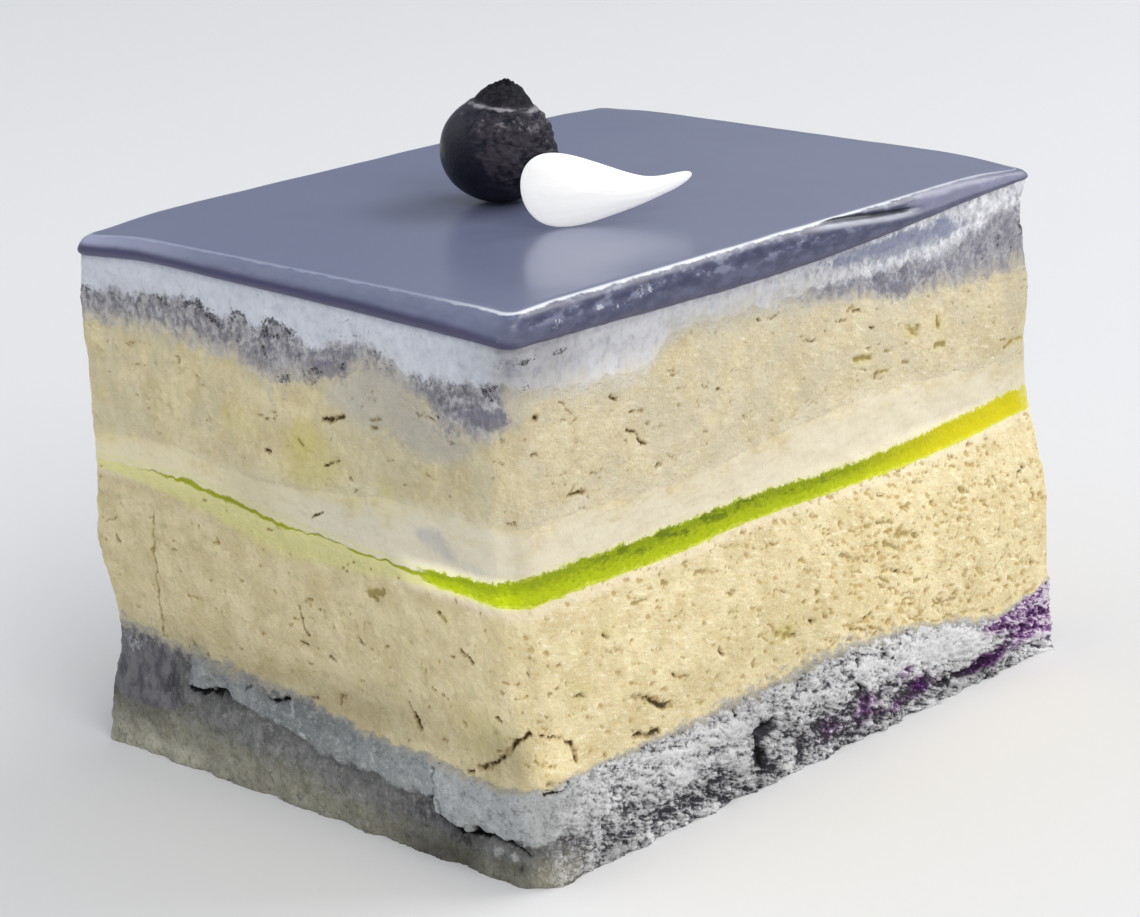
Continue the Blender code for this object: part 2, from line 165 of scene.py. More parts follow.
# Cracks with a brown fringe and a core of painted shade: from (s, z) to (s, z), and half a width.
CRACKS = [
    (40.2, 45.5, 41.8, 45.7, 0.4), (41.8, 45.7, 43.6, 46.3, 0.35), (40.1, 40.3, 41, 40.9, 0.2),
    (41, 40.9, 42.4, 41.4, 0.2), (30.6, 40.5, 31.6, 40.4, 0.15), (38, 34.2, 39.2, 35.2, 0.16),
    (56.4, 27.6, 57.2, 27, 0.4), (43, 22.2, 43.9, 21.4, 0.22), (34.3, 23.6, 34.4, 21, 0.16),
    (34.4, 21, 35, 20.4, 0.16), (33.4, 19.4, 34.2, 19.2, 0.25), (37.6, 18.6, 38.4, 18.3, 0.2),
    (38, 13.3, 39, 14.6, 0.28), (33.4, 12.6, 34.4, 12.9, 0.25), (48.8, 16, 49.8, 15, 0.18),
    (49.8, 15, 50.6, 13.5, 0.35), (59, 24.2, 60.4, 23.2, 0.2), (13.6, 15.1, 14.2, 14.6, 0.25),
    (57.4, 10.5, 58.4, 10.6, 0.3), (59.3, 11.3, 60.8, 11.9, 0.5), (60.8, 11.9, 62.6, 13.2, 0.26),
    (62.6, 13.2, 64.4, 15, 0.42), (64.4, 15, 66.8, 16.6, 0.4), (62.4, 17.8, 63.2, 17.3, 0.28),
    (55, 18.4, 55.6, 17.9, 0.2), (57.2, 16, 57.8, 15.6, 0.25), (52.4, 10.6, 53.4, 10.1, 0.3),
    (71.4, 49.6, 71.9, 49.3, 0.32), (75.4, 50.2, 75.9, 49.9, 0.22), (76, 49.3, 77, 48.6, 0.16),
    (78.3, 51.6, 79.2, 51.2, 0.32), (78.6, 50.9, 79.3, 50.7, 0.2), (82.7, 49.1, 83.4, 48.4, 0.24),
    (71, 45.9, 71.8, 45.7, 0.22), (85.6, 46.6, 87.4, 46.5, 0.2), (84.8, 44.9, 86, 44.4, 0.16),
    (86, 44.4, 86.9, 43.2, 0.16), (86.9, 43.2, 87.8, 42.6, 0.16), (76.2, 40.2, 78.6, 40.1, 0.3),
    (89.4, 39.8, 90.3, 40, 0.22), (91.2, 40.7, 92.4, 39.9, 0.16), (95.7, 45.5, 96, 44.6, 0.18),
    (98.8, 45.9, 99.4, 45.8, 0.14), (103, 41.9, 104.4, 42, 0.14), (106, 51.9, 106.6, 51.5, 0.2),
    (113.2, 47.7, 115, 47.5, 0.1), (121, 49.4, 122, 49.7, 0.35), (121.8, 49.1, 123.2, 49, 0.35),
    (119.7, 48.5, 120.6, 48.4, 0.2), (124.6, 46.7, 125.2, 46.5, 0.14), (146, 44.2, 146.6, 44, 0.14),
    (68.2, 16.6, 71.2, 15.8, 0.14), (71.2, 15.8, 72.6, 14.6, 0.26), (72.6, 14.6, 73.4, 12.6, 0.4),
    (69, 11, 71, 10.7, 0.4), (71, 10.7, 73, 10.2, 0.35), (74, 19.3, 75.3, 19, 0.28),
    (82, 16.6, 84.2, 15.7, 0.42), (84.2, 15.7, 86, 14.4, 0.46), (86, 14.4, 87.8, 13.7, 0.5),
    (81.8, 12.3, 83.8, 11.9, 0.42), (83.8, 11.9, 85.6, 11.6, 0.5), (95.8, 17.8, 96.2, 16.8, 0.2),
    (79.4, 24.4, 80.2, 24, 0.22), (97, 10.9, 96.9, 10.1, 0.3), (110.4, 16.4, 111.2, 16.1, 0.26),
    (124.6, 18, 126.2, 17.4, 0.26), (148.8, 22.9, 150.4, 23.4, 0.22), (119.2, 13.8, 120.8, 14.1, 0.18),
    (132.6, 11.7, 135.8, 11.5, 0.22), (108.6, 12.2, 110, 11.8, 0.2), (88, 17.4, 88.8, 16.6, 0.14),
    (142.9, 23.4, 143.8, 23, 0.2), (186, 44, 188.5, 43.2, 0.3), (201, 40.5, 202.4, 41.6, 0.25),
    (214, 22, 216.5, 21.1, 0.3), (176, 18.5, 178, 17.2, 0.3), (238, 45.5, 240.6, 45.2, 0.3),
    (256, 41.2, 257.6, 42.4, 0.25), (281, 23.5, 283.2, 22.2, 0.3), (247, 18, 249.5, 16.4, 0.3),
    (268, 16, 270, 14.2, 0.3), (296, 26.5, 297.3, 24.9, 0.22), (229, 27, 230.5, 26.4, 0.25),
    (291, 43, 293, 44.2, 0.25),
]
# Brown and olive pits in the sponges: the same numbers.
BROWN_PITS = [
    (45.8, 27.6, 48.4, 28.2, 0.5), (46, 27.4, 47, 27, 0.3), (10.8, 30, 10.6, 22.6, 0.22),
    (10.6, 25.4, 10.6, 24.6, 0.4), (10.4, 22.6, 9, 18, 0.2), (9, 18, 8.4, 14.9, 0.2),
    (36.2, 42.5, 36.6, 42.1, 0.3), (4, 25.4, 4.4, 24.8, 0.3), (47.6, 46.6, 49.2, 47, 0.2),
    (84.4, 26.4, 86.4, 26.2, 0.28), (89, 27.2, 89.8, 27, 0.28), (94, 26.8, 96.4, 26.5, 0.3),
    (99.8, 28, 101.6, 27.6, 0.26), (98, 21.2, 99.4, 20.9, 0.22), (121.4, 24.2, 123.6, 24.1, 0.24),
    (123.6, 24.1, 125.8, 23.6, 0.24), (116, 22.5, 118.6, 21.4, 0.24), (118.6, 21.4, 121.8, 20, 0.2),
    (121.8, 18, 124.4, 16.6, 0.18), (126, 22, 129.4, 21, 0.4), (124, 21.4, 126.4, 20.2, 0.3),
    (138.4, 24, 139.4, 23.4, 0.4), (128.6, 15.7, 131, 15.2, 0.26), (130.6, 26.9, 132.2, 26.6, 0.26),
    (122, 43.5, 124.6, 43.2, 0.38), (127.4, 43.3, 128.2, 43.1, 0.3), (131.2, 45, 132.8, 44.2, 0.6),
    (136.6, 45, 136.8, 44, 0.45), (136.4, 41.8, 138.2, 41.5, 0.4), (125.6, 41, 128.6, 41.1, 0.2),
    (130.4, 41.4, 131.6, 41, 0.25), (149.6, 38.6, 152, 39, 0.3), (152, 39, 153.8, 38.8, 0.28),
    (104.4, 16.9, 105.6, 16.2, 0.5), (105.6, 16.2, 107.6, 15.4, 0.5), (106, 17, 107, 16.6, 0.3),
    (140, 38, 141, 37.6, 0.25), (131.6, 9.5, 132.4, 9.4, 0.2), (132.6, 12, 133.6, 11.8, 0.2),
    (133.6, 9.8, 134.6, 9.7, 0.2), (137.4, 9.3, 138.6, 9.2, 0.25), (140.8, 8.4, 142, 8.3, 0.25),
    (143.4, 11.3, 144.6, 11.1, 0.2), (145.4, 8.5, 146.6, 8.4, 0.22),
]
# Gaps in the base, sunk and painted black inside as shade: the same numbers.
BASE_GAPS = [
    (13.4, 9.5, 15.4, 9.5, 0.4), (15.4, 9.7, 18, 10, 0.35), (18, 10.1, 20.4, 10.7, 0.45),
    (26.6, 11.2, 28, 11.4, 0.35), (28, 11.6, 30, 11.8, 0.55), (24, 12.4, 22.8, 11.4, 0.14),
    (52.9, 10.2, 53, 7.4, 0.14), (53, 7.4, 52.9, 4.8, 0.28), (53.1, 4.9, 56, 4.5, 0.26),
    (56, 4.5, 59, 4.3, 0.32), (59, 4.3, 62.4, 5, 0.34), (62.4, 5, 64.5, 4.5, 0.2), (64.5, 4.5, 67, 3.9, 0.14),
    (53.6, 6.6, 54.4, 5.6, 0.14), (100.8, 6.6, 104.2, 6.8, 0.55), (101.4, 5.8, 102.4, 3.6, 0.55),
    (102.2, 3.4, 101.8, 1.8, 0.35), (97.4, 10, 98.2, 9.2, 0.25), (123.4, 9.2, 123.6, 8.2, 0.4),
    (118.4, 9.4, 118.6, 8.8, 0.3), (118, 6.6, 119.6, 5.4, 0.35), (131, 2.4, 136, 2.3, 0.14),
    (136, 2.3, 141, 2.5, 0.12), (109, 9, 109.8, 8.6, 0.25), (68.4, 10.3, 71, 10.3, 0.34),
    (71, 10.3, 72.6, 10.6, 0.24), (190, 6, 190.4, 2, 0.35), (236, 8.2, 243, 7.6, 0.5),
    (262, 6.8, 262.4, 2.4, 0.35), (205, 5.2, 212, 5.6, 0.4),
]
# Stains: (s, z, reach along, reach up, strength).
VIOLET_STAINS = [
    (40.4, 50.9, 2.6, 1.1, 0.8), (43.4, 51.7, 2.2, 1.6, 0.9), (38.6, 49.6, 1.6, 0.9, 0.6),
    (61.6, 49.6, 2.6, 1, 0.6), (65.4, 49.7, 2.8, 1, 1.6), (58.6, 48.2, 2.2, 1.2, 0.3),
    (59.4, 47, 1.8, 1, 0.4), (35, 48.6, 1.4, 0.8, 0.4), (127.2, 51.4, 1.5, 2.2, 1),
    (131.5, 52.1, 0.8, 0.8, 1.2), (130.6, 50, 2.2, 1.4, 1.1), (135.4, 50.4, 2.2, 1.6, 0.7),
    (124.4, 52, 1.2, 1, 0.5), (144.6, 51.2, 1.6, 1.8, 0.6), (139.6, 50.6, 1.6, 1.4, 0.5),
    (150.4, 50.6, 2.6, 3.6, 0.25), (133, 55.6, 6, 1, 1), (138.8, 55, 1.6, 1.4, 0.9), (126, 55.2, 4, 0.7, 0.9),
    (119, 55.2, 3, 0.6, 0.7), (146, 53.6, 3, 1.4, 0.35), (151, 53.5, 2, 1.6, 0.4), (113.6, 52.4, 3, 0.8, 0.3),
    (176, 52, 5, 1.6, 0.7), (232, 52, 5, 1.5, 0.8), (258, 51.2, 4, 1.5, 0.8), (296, 52, 5, 1.5, 0.6),
    (210, 51, 3, 1.2, 0.5),
]
# Painted shadow of the glaze's edge on the cream under it, bluish: the same numbers.
GLAZE_SHADOW_SPOTS = [
    (122, 55.4, 5, 1, 0.7), (131, 54.8, 6, 1.2, 1.4), (140, 54.8, 4, 1, 0.7), (69, 55.2, 3, 1, 0.4),
    (110, 55.2, 5, 0.6, 0.35), (176, 55.2, 8, 1.4, 0.5),
]
# Dark clots of the fruit layer: the same numbers.
CLOTS = [
    (1.4, 54.2, 1.2, 0.5, 0.8), (4.4, 53.6, 1.2, 0.7, 0.35), (9, 53.9, 1.6, 0.5, 0.4),
    (14.8, 54.7, 1.4, 0.45, 0.9), (19.2, 54.9, 1, 0.5, 0.9), (21.2, 55, 1, 0.6, 1.1), (23, 54, 1, 0.8, 1),
    (24.4, 53.4, 0.7, 0.7, 0.9), (26.6, 54.2, 0.6, 1, 0.7), (27.6, 55.1, 0.7, 0.5, 0.9),
    (28.8, 54.5, 0.6, 0.8, 0.9), (30.4, 52.8, 0.8, 0.8, 0.7), (31.8, 53.8, 0.7, 1.2, 0.9),
    (31.6, 51.2, 0.6, 1.2, 0.7), (33.6, 54.9, 1.4, 0.45, 1), (35.8, 54.2, 1.2, 0.45, 0.9),
    (33.4, 53.3, 0.8, 0.5, 0.7), (27, 52, 1.2, 0.8, 0.4), (34.6, 48.9, 1.2, 0.6, 0.9),
    (37.6, 49.6, 0.8, 0.5, 0.5), (39.6, 50.3, 1.2, 0.8, 0.8), (42.4, 52.6, 1, 0.8, 0.4),
    (43.8, 51.4, 0.6, 0.6, 1), (46.6, 51.4, 0.4, 0.4, 0.8), (48.6, 54.2, 1.4, 0.7, 0.4),
    (50.6, 52.8, 1, 0.6, 0.5), (55.2, 52.6, 1, 0.4, 0.6), (56.6, 52, 0.8, 0.4, 0.6),
    (57.4, 48.6, 0.8, 0.5, 0.7), (64.6, 52.4, 0.6, 0.4, 1.2), (66, 53, 0.6, 0.5, 1),
    (65.6, 51.8, 1.2, 0.5, 0.5), (44.6, 56.6, 1.6, 0.35, 0.45), (46, 55.4, 1.2, 0.6, 0.4),
    (54, 56.8, 4, 0.2, 0.4), (43.4, 55, 1.4, 0.3, 0.3), (70.5, 55.6, 1.4, 0.5, 0.7),
    (70.4, 52.9, 0.7, 0.4, 0.5), (75.5, 55.5, 1.3, 0.5, 0.7), (66.6, 55.4, 1.6, 0.6, 0.35),
    (121.9, 49.9, 1.2, 0.5, 0.4), (148.7, 51.4, 0.7, 1.4, 0.5), (151.6, 50.4, 0.8, 1.6, 0.5),
    (153.8, 52.6, 0.9, 1.4, 0.8), (146, 50.2, 0.7, 1.2, 0.4), (170, 53, 2, 1, 0.8), (184, 52.4, 2, 0.9, 0.6),
    (228, 53.4, 2, 0.9, 0.9), (240, 52.6, 2, 1, 0.9), (252, 52.2, 2, 0.8, 0.8), (286, 53.8, 2, 0.8, 0.9),
    (300, 53.6, 2.4, 0.8, 0.8),
]
# Dark and light patches of the base: the same numbers.
BASE_DARKS = [
    (7, 9.8, 1.2, 2.4, 0.25), (10.6, 9.6, 1.8, 3, 0.8), (12.4, 7.6, 1, 1, 0.5), (3.4, 8, 1.4, 3.4, 0.4),
    (28.9, 11.5, 1.6, 0.8, 0.8), (24.6, 12, 0.9, 0.8, 0.4), (22, 7.4, 4, 1.6, 0.35), (27, 6.6, 3, 1.4, 0.3),
    (47.6, 5, 5, 1.6, 0.5), (51.6, 4.4, 1.6, 2.2, 0.6), (57, 3.2, 3.4, 1.2, 0.8), (61.4, 1.8, 3, 1, 0.4),
    (65.2, 2.2, 1.4, 0.9, 0.7), (72, 4.6, 2, 1, 0.4), (77.7, 4.5, 0.9, 0.6, 1), (80.8, 4.5, 0.8, 0.6, 1),
    (85, 3.2, 2.2, 1, 0.3), (89.3, 2.8, 0.9, 0.6, 1), (93.5, 3.4, 2.6, 1.6, 0.4), (102.5, 6.5, 2, 0.8, 1.5),
    (101.8, 3.6, 0.8, 1.9, 1.4), (106.5, 5.6, 2, 1.4, 0.5), (108, 2.5, 0.6, 1.2, 1),
    (113.5, 4, 3.4, 2.4, 0.3), (117.4, 4.4, 1.2, 2, 0.25), (116.5, 8, 0.5, 0.5, 1), (118.3, 9.2, 0.5, 0.5, 1),
    (123.3, 8.7, 0.5, 0.8, 1), (118.5, 5.5, 0.6, 0.5, 1), (119.7, 4.2, 0.6, 0.5, 1), (122, 4.5, 0.7, 0.6, 1),
    (121.5, 2, 1.2, 0.7, 0.9), (128.6, 3.3, 2.4, 1.1, 1.1), (127, 5.6, 1.2, 0.6, 0.7),
    (138, 2.2, 5, 0.6, 1.3), (144, 5.8, 1.6, 0.8, 0.8), (151, 6.9, 1, 0.9, 0.5), (185, 3.4, 6, 2, 0.5),
    (206, 4, 5, 2, 0.5), (236, 6, 7, 1.6, 0.7), (262, 4.4, 6, 1.6, 0.5), (286, 5.6, 6, 3, 0.6),
    (304, 7.4, 3, 4, 0.5),
]
BASE_LIGHTS = [
    (3.6, 12.8, 1.6, 1.4, 0.7), (16, 12, 2, 1, 0.7), (22, 12.4, 2, 0.9, 0.5), (30.9, 11.4, 0.5, 1.4, 0.9),
    (32.6, 8.2, 1, 0.6, 0.8), (35, 11, 2, 0.9, 0.4), (26, 10, 2, 0.7, 0.35), (62.2, 3.4, 0.8, 1, 1),
    (64.6, 3.3, 0.6, 0.6, 0.8), (70, 2.4, 5, 1.4, 0.5), (79.5, 0.9, 3, 1, 0.9), (58, 7, 2.6, 0.8, 0.5),
    (64.5, 7.4, 2.2, 0.8, 0.5), (99.7, 7.5, 1.8, 1, 1), (98.8, 4, 1.8, 2, 0.9), (92, 8, 6, 1.6, 0.6),
    (90.6, 5.6, 2.6, 1.4, 1), (78.4, 5.2, 1.6, 0.9, 0.6), (106.2, 2.2, 0.8, 0.7, 1), (119.5, 8, 1.6, 1, 1),
    (125, 6.6, 1.2, 1.4, 1), (116, 8.4, 1.4, 0.9, 0.4), (131, 6.6, 3.6, 1.6, 1), (137, 4.8, 4, 1.6, 1),
    (149, 2.6, 3, 0.9, 0.8), (152.8, 4.2, 1.2, 0.8, 0.5), (196, 6.4, 4, 1.6, 0.7), (224, 7.4, 4, 1.6, 0.6),
    (272, 8.4, 4, 1.4, 0.6),
]
# Grey juice, and curd soaked into the crumb: the same numbers.
GREY_STAINS = [
    (48.6, 48.4, 7, 3.4, 1), (56.5, 46, 4, 2.6, 1), (53.6, 46, 1.4, 0.8, 0.7), (35, 50, 4, 1.4, 0.5),
    (60, 45.6, 3, 1.4, 0.5), (57, 35.6, 2.4, 1.3, 1), (58.6, 34.4, 1.6, 0.8, 0.7), (55, 36, 1.4, 0.7, 0.8),
    (62.5, 33.6, 3, 0.9, 0.5), (46, 34.6, 3.6, 1, 0.3), (70, 52.6, 4, 1.8, 0.4), (75, 51.6, 4, 1.4, 0.3),
    (82, 50, 5, 1.2, 0.4), (68.6, 49.6, 2.4, 1.6, 0.6), (115, 51.2, 4, 1.4, 0.6), (109, 52, 3, 0.8, 0.3),
    (50.5, 51, 4.5, 1.3, 0.7), (45, 49, 5, 1.8, 0.4), (196, 36, 5, 1.6, 0.5), (272, 35.6, 4, 1.6, 0.6),
]
GREEN_TINTS = [
    (24.2, 43.8, 1, 0.9, 0.6), (27, 43, 3.6, 3.2, 0.45), (36.4, 42.6, 2.4, 2, 0.7), (40, 41, 6.5, 3.2, 0.65),
    (38, 44, 3, 2, 0.4), (37, 38.4, 4.6, 1.8, 0.55), (44.4, 37.2, 1.6, 0.8, 0.5), (50, 39.4, 2.6, 1.6, 0.7),
    (60, 43, 5, 1.6, 0.35), (3, 37.2, 3, 1.4, 0.5), (2.6, 42, 2.4, 1.2, 0.4), (9.6, 42, 3.6, 1.4, 0.25),
    (131.8, 44.6, 1.4, 0.9, 0.9), (136.7, 44.5, 0.9, 1.2, 0.9), (137.4, 41.7, 1.6, 0.7, 0.8),
    (123.4, 43.3, 1.8, 0.6, 0.9), (127, 41.1, 1.8, 0.4, 0.7), (152, 38.8, 2.6, 0.5, 0.9),
    (106.2, 16.4, 1.8, 1.2, 1.1), (80, 24.6, 1.2, 0.8, 0.7), (47, 27.9, 1.4, 0.7, 0.9),
    (61, 15.6, 6, 3.4, 0.45), (57.4, 27.2, 1.4, 1, 0.6), (75, 19.6, 3, 1.4, 0.4), (77.4, 40.2, 1.6, 0.6, 0.7),
    (184, 42, 3, 2, 0.6), (240, 40.5, 4, 2, 0.7), (298, 42, 3, 1.6, 0.6),
]
# How marked with holes and dashes each sponge is, how thick and how strong the curd's thread is, how
# coarse the top cream is, and how frosty the base is: (distance round, value).
LOWER_MARKED = [
    (0, 0.02), (60, 0.04), (70, 0.16), (90, 0.2), (106, 0.3), (120, 0.42), (154, 0.36), (164, 0.2),
    (230, 0.05), (GIRTH, 0.02),
]
UPPER_MARKED = [(0, 0), (62, 0.02), (72, 0.06), (110, 0.08), (154, 0.12), (170, 0.05), (GIRTH, 0)]
THREAD_THICK = [(0, 0.16), (14, 0.2), (20, 0.26), (32, 0.24), (38, 0.15), (60, 0.13)]
THREAD_STRONG = [
    (0, 0.1), (7, 0.3), (12, 0.7), (18, 1), (36, 0.9), (44, 0.8), (50, 1), (240, 1), (285, 0.6), (GIRTH, 0.1),
]
CREAM_COARSE = [
    (0, 0.1), (60, 0.2), (72, 0.3), (108, 0.3), (120, 0.6), (136, 1), (154, 1), (170, 0.8), (190, 0.3),
    (GIRTH, 0.1),
]
BASE_FROST = [
    (0, 0.1), (66, 0.15), (71, 0.5), (80, 0.85), (92, 1), (154, 1), (166, 0.7), (200, 0.35), (GIRTH, 0.1),
]
# How far the curd has soaked down into the lower sponge: (distance round, depth).
HALO_REACH = [
    (0, 0.5), (7, 1.4), (15, 2.4), (24, 3.4), (33, 4.4), (38, 3.4), (46, 2.2), (52, 1.2), (57, 0.5),
    (75, 0.25), (154, 0.25), (230, 0.4), (250, 2.6), (275, 3.4), (295, 1.5), (GIRTH, 0.5),
]
# How softly the base fades into the sponge over it, and the painted light and shade of each layer:
# a factor that darkens or brightens its colour as the light would: (distance round, value).
BASE_FADE = [
    (0, 1.8), (20, 1.5), (27, 1), (36, 0.55), (60, 0.45), (80, 0.6), (88, 1), (98, 1.6), (120, 1.7),
    (126, 0.9), (154, 0.6), (200, 0.8), (222, 0.5), (250, 0.7), (280, 1.2), (GIRTH, 1.8),
]
SPONGE_FOOT_PAINTED_LIGHT = [
    (0, 0.92), (12, 0.8), (28, 0.82), (44, 0.76), (52, 0.88), (58, 0.98), (62, 0.78), (65, 0.88), (67, 1.12),
    (69, 1.3), (72, 1.1), (78, 0.96), (90, 0.94), (112, 0.95), (120, 1.1), (140, 1.04), (154, 1.05), (164, 1),
    (GIRTH, 0.92),
]
LOWER_PAINTED_LIGHT = [
    (0, 1.03), (50, 1.06), (60, 1.13), (66, 1.24), (69, 1), (72, 0.95), (84, 1.03), (100, 1.02), (112, 1.03),
    (120, 1.12), (140, 1.13), (154, 1.1), (162, 1.02), (GIRTH, 1.03),
]
CURD_PAINTED_LIGHT = [
    (0, 1), (50, 1), (56, 1.6), (66, 1.6), (71, 1), (78, 1), (90, 0.96), (112, 0.94), (124, 1), (140, 1.05),
    (164, 1), (GIRTH, 1),
]
FILLING_PAINTED_LIGHT = [
    (0, 1.08), (20, 1.06), (27, 0.9), (34, 0.97), (44, 0.93), (52, 1), (58, 0.97), (62, 0.99), (66, 1.02),
    (69, 0.77), (72, 0.82), (84, 0.82), (110, 0.86), (130, 0.89), (154, 0.81), (164, 0.94), (GIRTH, 1.08),
]
UPPER_PAINTED_LIGHT = [
    (0, 1.06), (28, 1.03), (36, 1.06), (44, 1.08), (54, 0.95), (60, 0.99), (66, 1.05), (69, 0.86), (72, 0.84),
    (90, 0.9), (110, 0.9), (130, 0.97), (154, 0.87), (164, 1), (GIRTH, 1.06),
]
CREAM_PAINTED_LIGHT = [
    (0, 0.94), (50, 0.97), (60, 0.95), (65, 0.72), (67, 0.5), (69, 0.44), (71, 0.5), (75, 0.48), (80, 0.62),
    (90, 0.68), (118, 0.66), (130, 0.78), (154, 0.93), (164, 1), (GIRTH, 0.94),
]
BASE_PAINTED_LIGHT = [
    (0, 0.82), (8, 0.8), (12, 0.98), (20, 1.03), (28, 1.08), (36, 1.1), (44, 1.05), (52, 1.2), (58, 0.95),
    (66, 0.95), (69, 0.85), (72, 0.85), (78, 1), (84, 0.93), (90, 1.04), (100, 0.88), (110, 0.95), (120, 1.1),
    (154, 1.05), (164, 1), (GIRTH, 0.82),
]
FOOT_PAINTED_LIGHT = [
    (0, 1.5), (8, 1.7), (14, 1.5), (20, 1.22), (30, 1.2), (40, 1.05), (47, 0.85), (51, 0.42), (58, 0.44),
    (61, 0.9), (64, 0.7), (66, 0.75), (68, 1.2), (70, 1.3), (74, 1.1), (78, 0.62), (84, 1.1), (92, 1.1),
    (100, 0.85), (110, 1.25), (122, 0.9), (130, 1.05), (138, 0.75), (144, 0.8), (150, 1.4), (154, 1.3),
    (164, 1), (250, 1.1), (GIRTH, 1.5),
]
# Painted light and shade: each height, and the line of factors round the slice at that height.
PAINTED_LIGHT_ROWS = [
    (1.5, FOOT_PAINTED_LIGHT), (4.5, BASE_PAINTED_LIGHT), (9, BASE_PAINTED_LIGHT), (12.5, SPONGE_FOOT_PAINTED_LIGHT),
    (14.5, SPONGE_FOOT_PAINTED_LIGHT), (18, LOWER_PAINTED_LIGHT), (29.6, LOWER_PAINTED_LIGHT), (30.4, CURD_PAINTED_LIGHT),
    (32.4, CURD_PAINTED_LIGHT), (33.4, FILLING_PAINTED_LIGHT), (36.5, FILLING_PAINTED_LIGHT), (39.5, UPPER_PAINTED_LIGHT),
    (51, UPPER_PAINTED_LIGHT), (54.2, CREAM_PAINTED_LIGHT), (58, CREAM_PAINTED_LIGHT),
]
# How pale the base's frost is, and how high its warm foot reaches: (distance round, value).
LIFT = [
    (0, 0.1), (74, 0.12), (86, 0.14), (98, 0.1), (108, 0.06), (118, 0.04), (124, 0.14), (130, 0.3),
    (138, 0.3), (146, 0.2), (154, 0.16), (170, 0.1), (GIRTH, 0.1),
]
WARM_FOOT = [
    (0, 5.6), (14, 6), (24, 4.6), (34, 4.2), (46, 2.8), (60, 2.2), (68, 2.8), (76, 2.4), (90, 1.2),
    (154, 0.8), (200, 2.4), (250, 4), (GIRTH, 5.6),
]
# How much the marks of the +X face fall to the right.
SLANT = 0.32
# Purple juice on the base, and scuffs on the glaze: the same numbers as the stains.
PURPLE_STAINS = [
    (119.7, 3.4, 3, 2, 0.75), (113.5, 2.8, 2.6, 1.4, 0.5), (126.4, 5.6, 1.8, 1, 0.7),
    (129.2, 3.2, 2.6, 1.4, 0.9), (125, 1.8, 2.4, 0.8, 0.6), (141, 2.3, 4.4, 0.9, 1.1),
    (144, 5.8, 2.6, 1.2, 1.1), (148, 5.8, 3, 1.2, 1), (151.4, 6.8, 2.6, 2, 1.5), (153.8, 4.2, 2.8, 2.6, 1.4),
    (148.6, 3.4, 3.6, 1.4, 0.9), (158, 4.6, 4, 2.4, 1), (168, 4, 5, 2, 0.5), (110.5, 5, 3, 2, 0.2),
    (226, 4, 6, 2, 0.3),
]
GLAZE_SCUFFS = [
    (80.9, 58.9, 0.7, 0.35, 1), (88, 59.1, 2.6, 0.7, 0.6), (75, 58.6, 2.2, 0.8, 0.4),
    (83.5, 58.4, 2.6, 0.5, 0.45), (66.9, 58.4, 1.2, 0.6, 0.5), (97, 59, 1.6, 0.3, 0.5),
    (113, 58.9, 1.8, 0.2, 0.5), (206, 58.8, 2, 0.4, 0.5), (262, 58.6, 2, 0.4, 0.4),
]


# ---- Lines, noise and places -------------------------------------------------------------------


def line_through(points, place, period=None):
    """Height of the smooth line through the points at each place: every span is a cubic whose end
    slopes are those of the chord between the two neighbours."""
    px, pz = (list(column) for column in zip(*points))
    if period:
        px = [px[-2] - period, px[-1] - period] + px + [px[0] + period, px[1] + period]
        pz = pz[-2:] + pz + pz[:2]
    px = np.array(px, float)
    pz = np.array(pz, float)
    slope = np.gradient(pz, px)
    i = np.clip(np.searchsorted(px, place) - 1, 0, len(px) - 2)
    span = px[i + 1] - px[i]
    t = np.clip((place - px[i]) / span, 0, 1)
    bend = slope[i] * (1 - t) - slope[i + 1] * t
    return pz[i] + (pz[i + 1] - pz[i]) * t * t * (3 - 2 * t) + span * t * (1 - t) * bend


def ease(value, low, high):
    """0 below low, 1 above high, and 3t^2 - 2t^3 between them."""
    t = np.clip((value - low) / (high - low), 0, 1)
    return t * t * (3 - 2 * t)


def bell(value, middle, reach):
    """1 at the middle, and exp of less the squared distance from it in reaches."""
    return np.exp(-(((value - middle) / reach) ** 2))


def level_at(points, s):
    """Value at each distance round the slice, straight between the points of a list."""
    return np.interp(s, *zip(*points))


def scramble(cell, seed):
    """A number from 0 to 1 for each whole-number place: its three indices times large odd numbers,
    added, and mixed by shifts and products in 32 bits."""
    mixed = cell[..., 0] * 374761393 + cell[..., 1] * 668265263 + cell[..., 2] * 974634777
    mixed = (mixed + seed * 362437) & 0xFFFFFFFF
    mixed = ((mixed ^ (mixed >> 15)) * 1274126177) & 0xFFFFFFFF
    mixed = ((mixed ^ (mixed >> 13)) * 1911520717) & 0xFFFFFFFF
    return (mixed ^ (mixed >> 16)) / 4294967295.0


def lumps(points, size, seed):
    """Smooth unevenness from -1 to 1 with lumps of a size: a scrambled number at each corner of a
    grid of that size, blended between the corners by 3t^2 - 2t^3 along each axis."""
    place = points / np.asarray(size, float)
    cell = np.floor(place).astype(np.int64)
    t = place - cell
    t = t * t * (3 - 2 * t)
    total = 0.0
    for corner in product((0, 1), repeat=3):
        share = np.where(corner, t, 1 - t).prod(-1)
        total = total + share * scramble(cell + np.array(corner), seed)
    return 2 * total - 1


def rough(points, size, seed, octaves=3, gain=0.5):
    """Lumps of a size, plus lumps half as large and gain times as high, and so on."""
    sizes = [np.asarray(size, float) / 2**k for k in range(octaves)]
    heights = [gain**k for k in range(octaves)]
    return sum(h * lumps(points, z, seed + k) for k, (h, z) in enumerate(zip(heights, sizes))) / sum(heights)


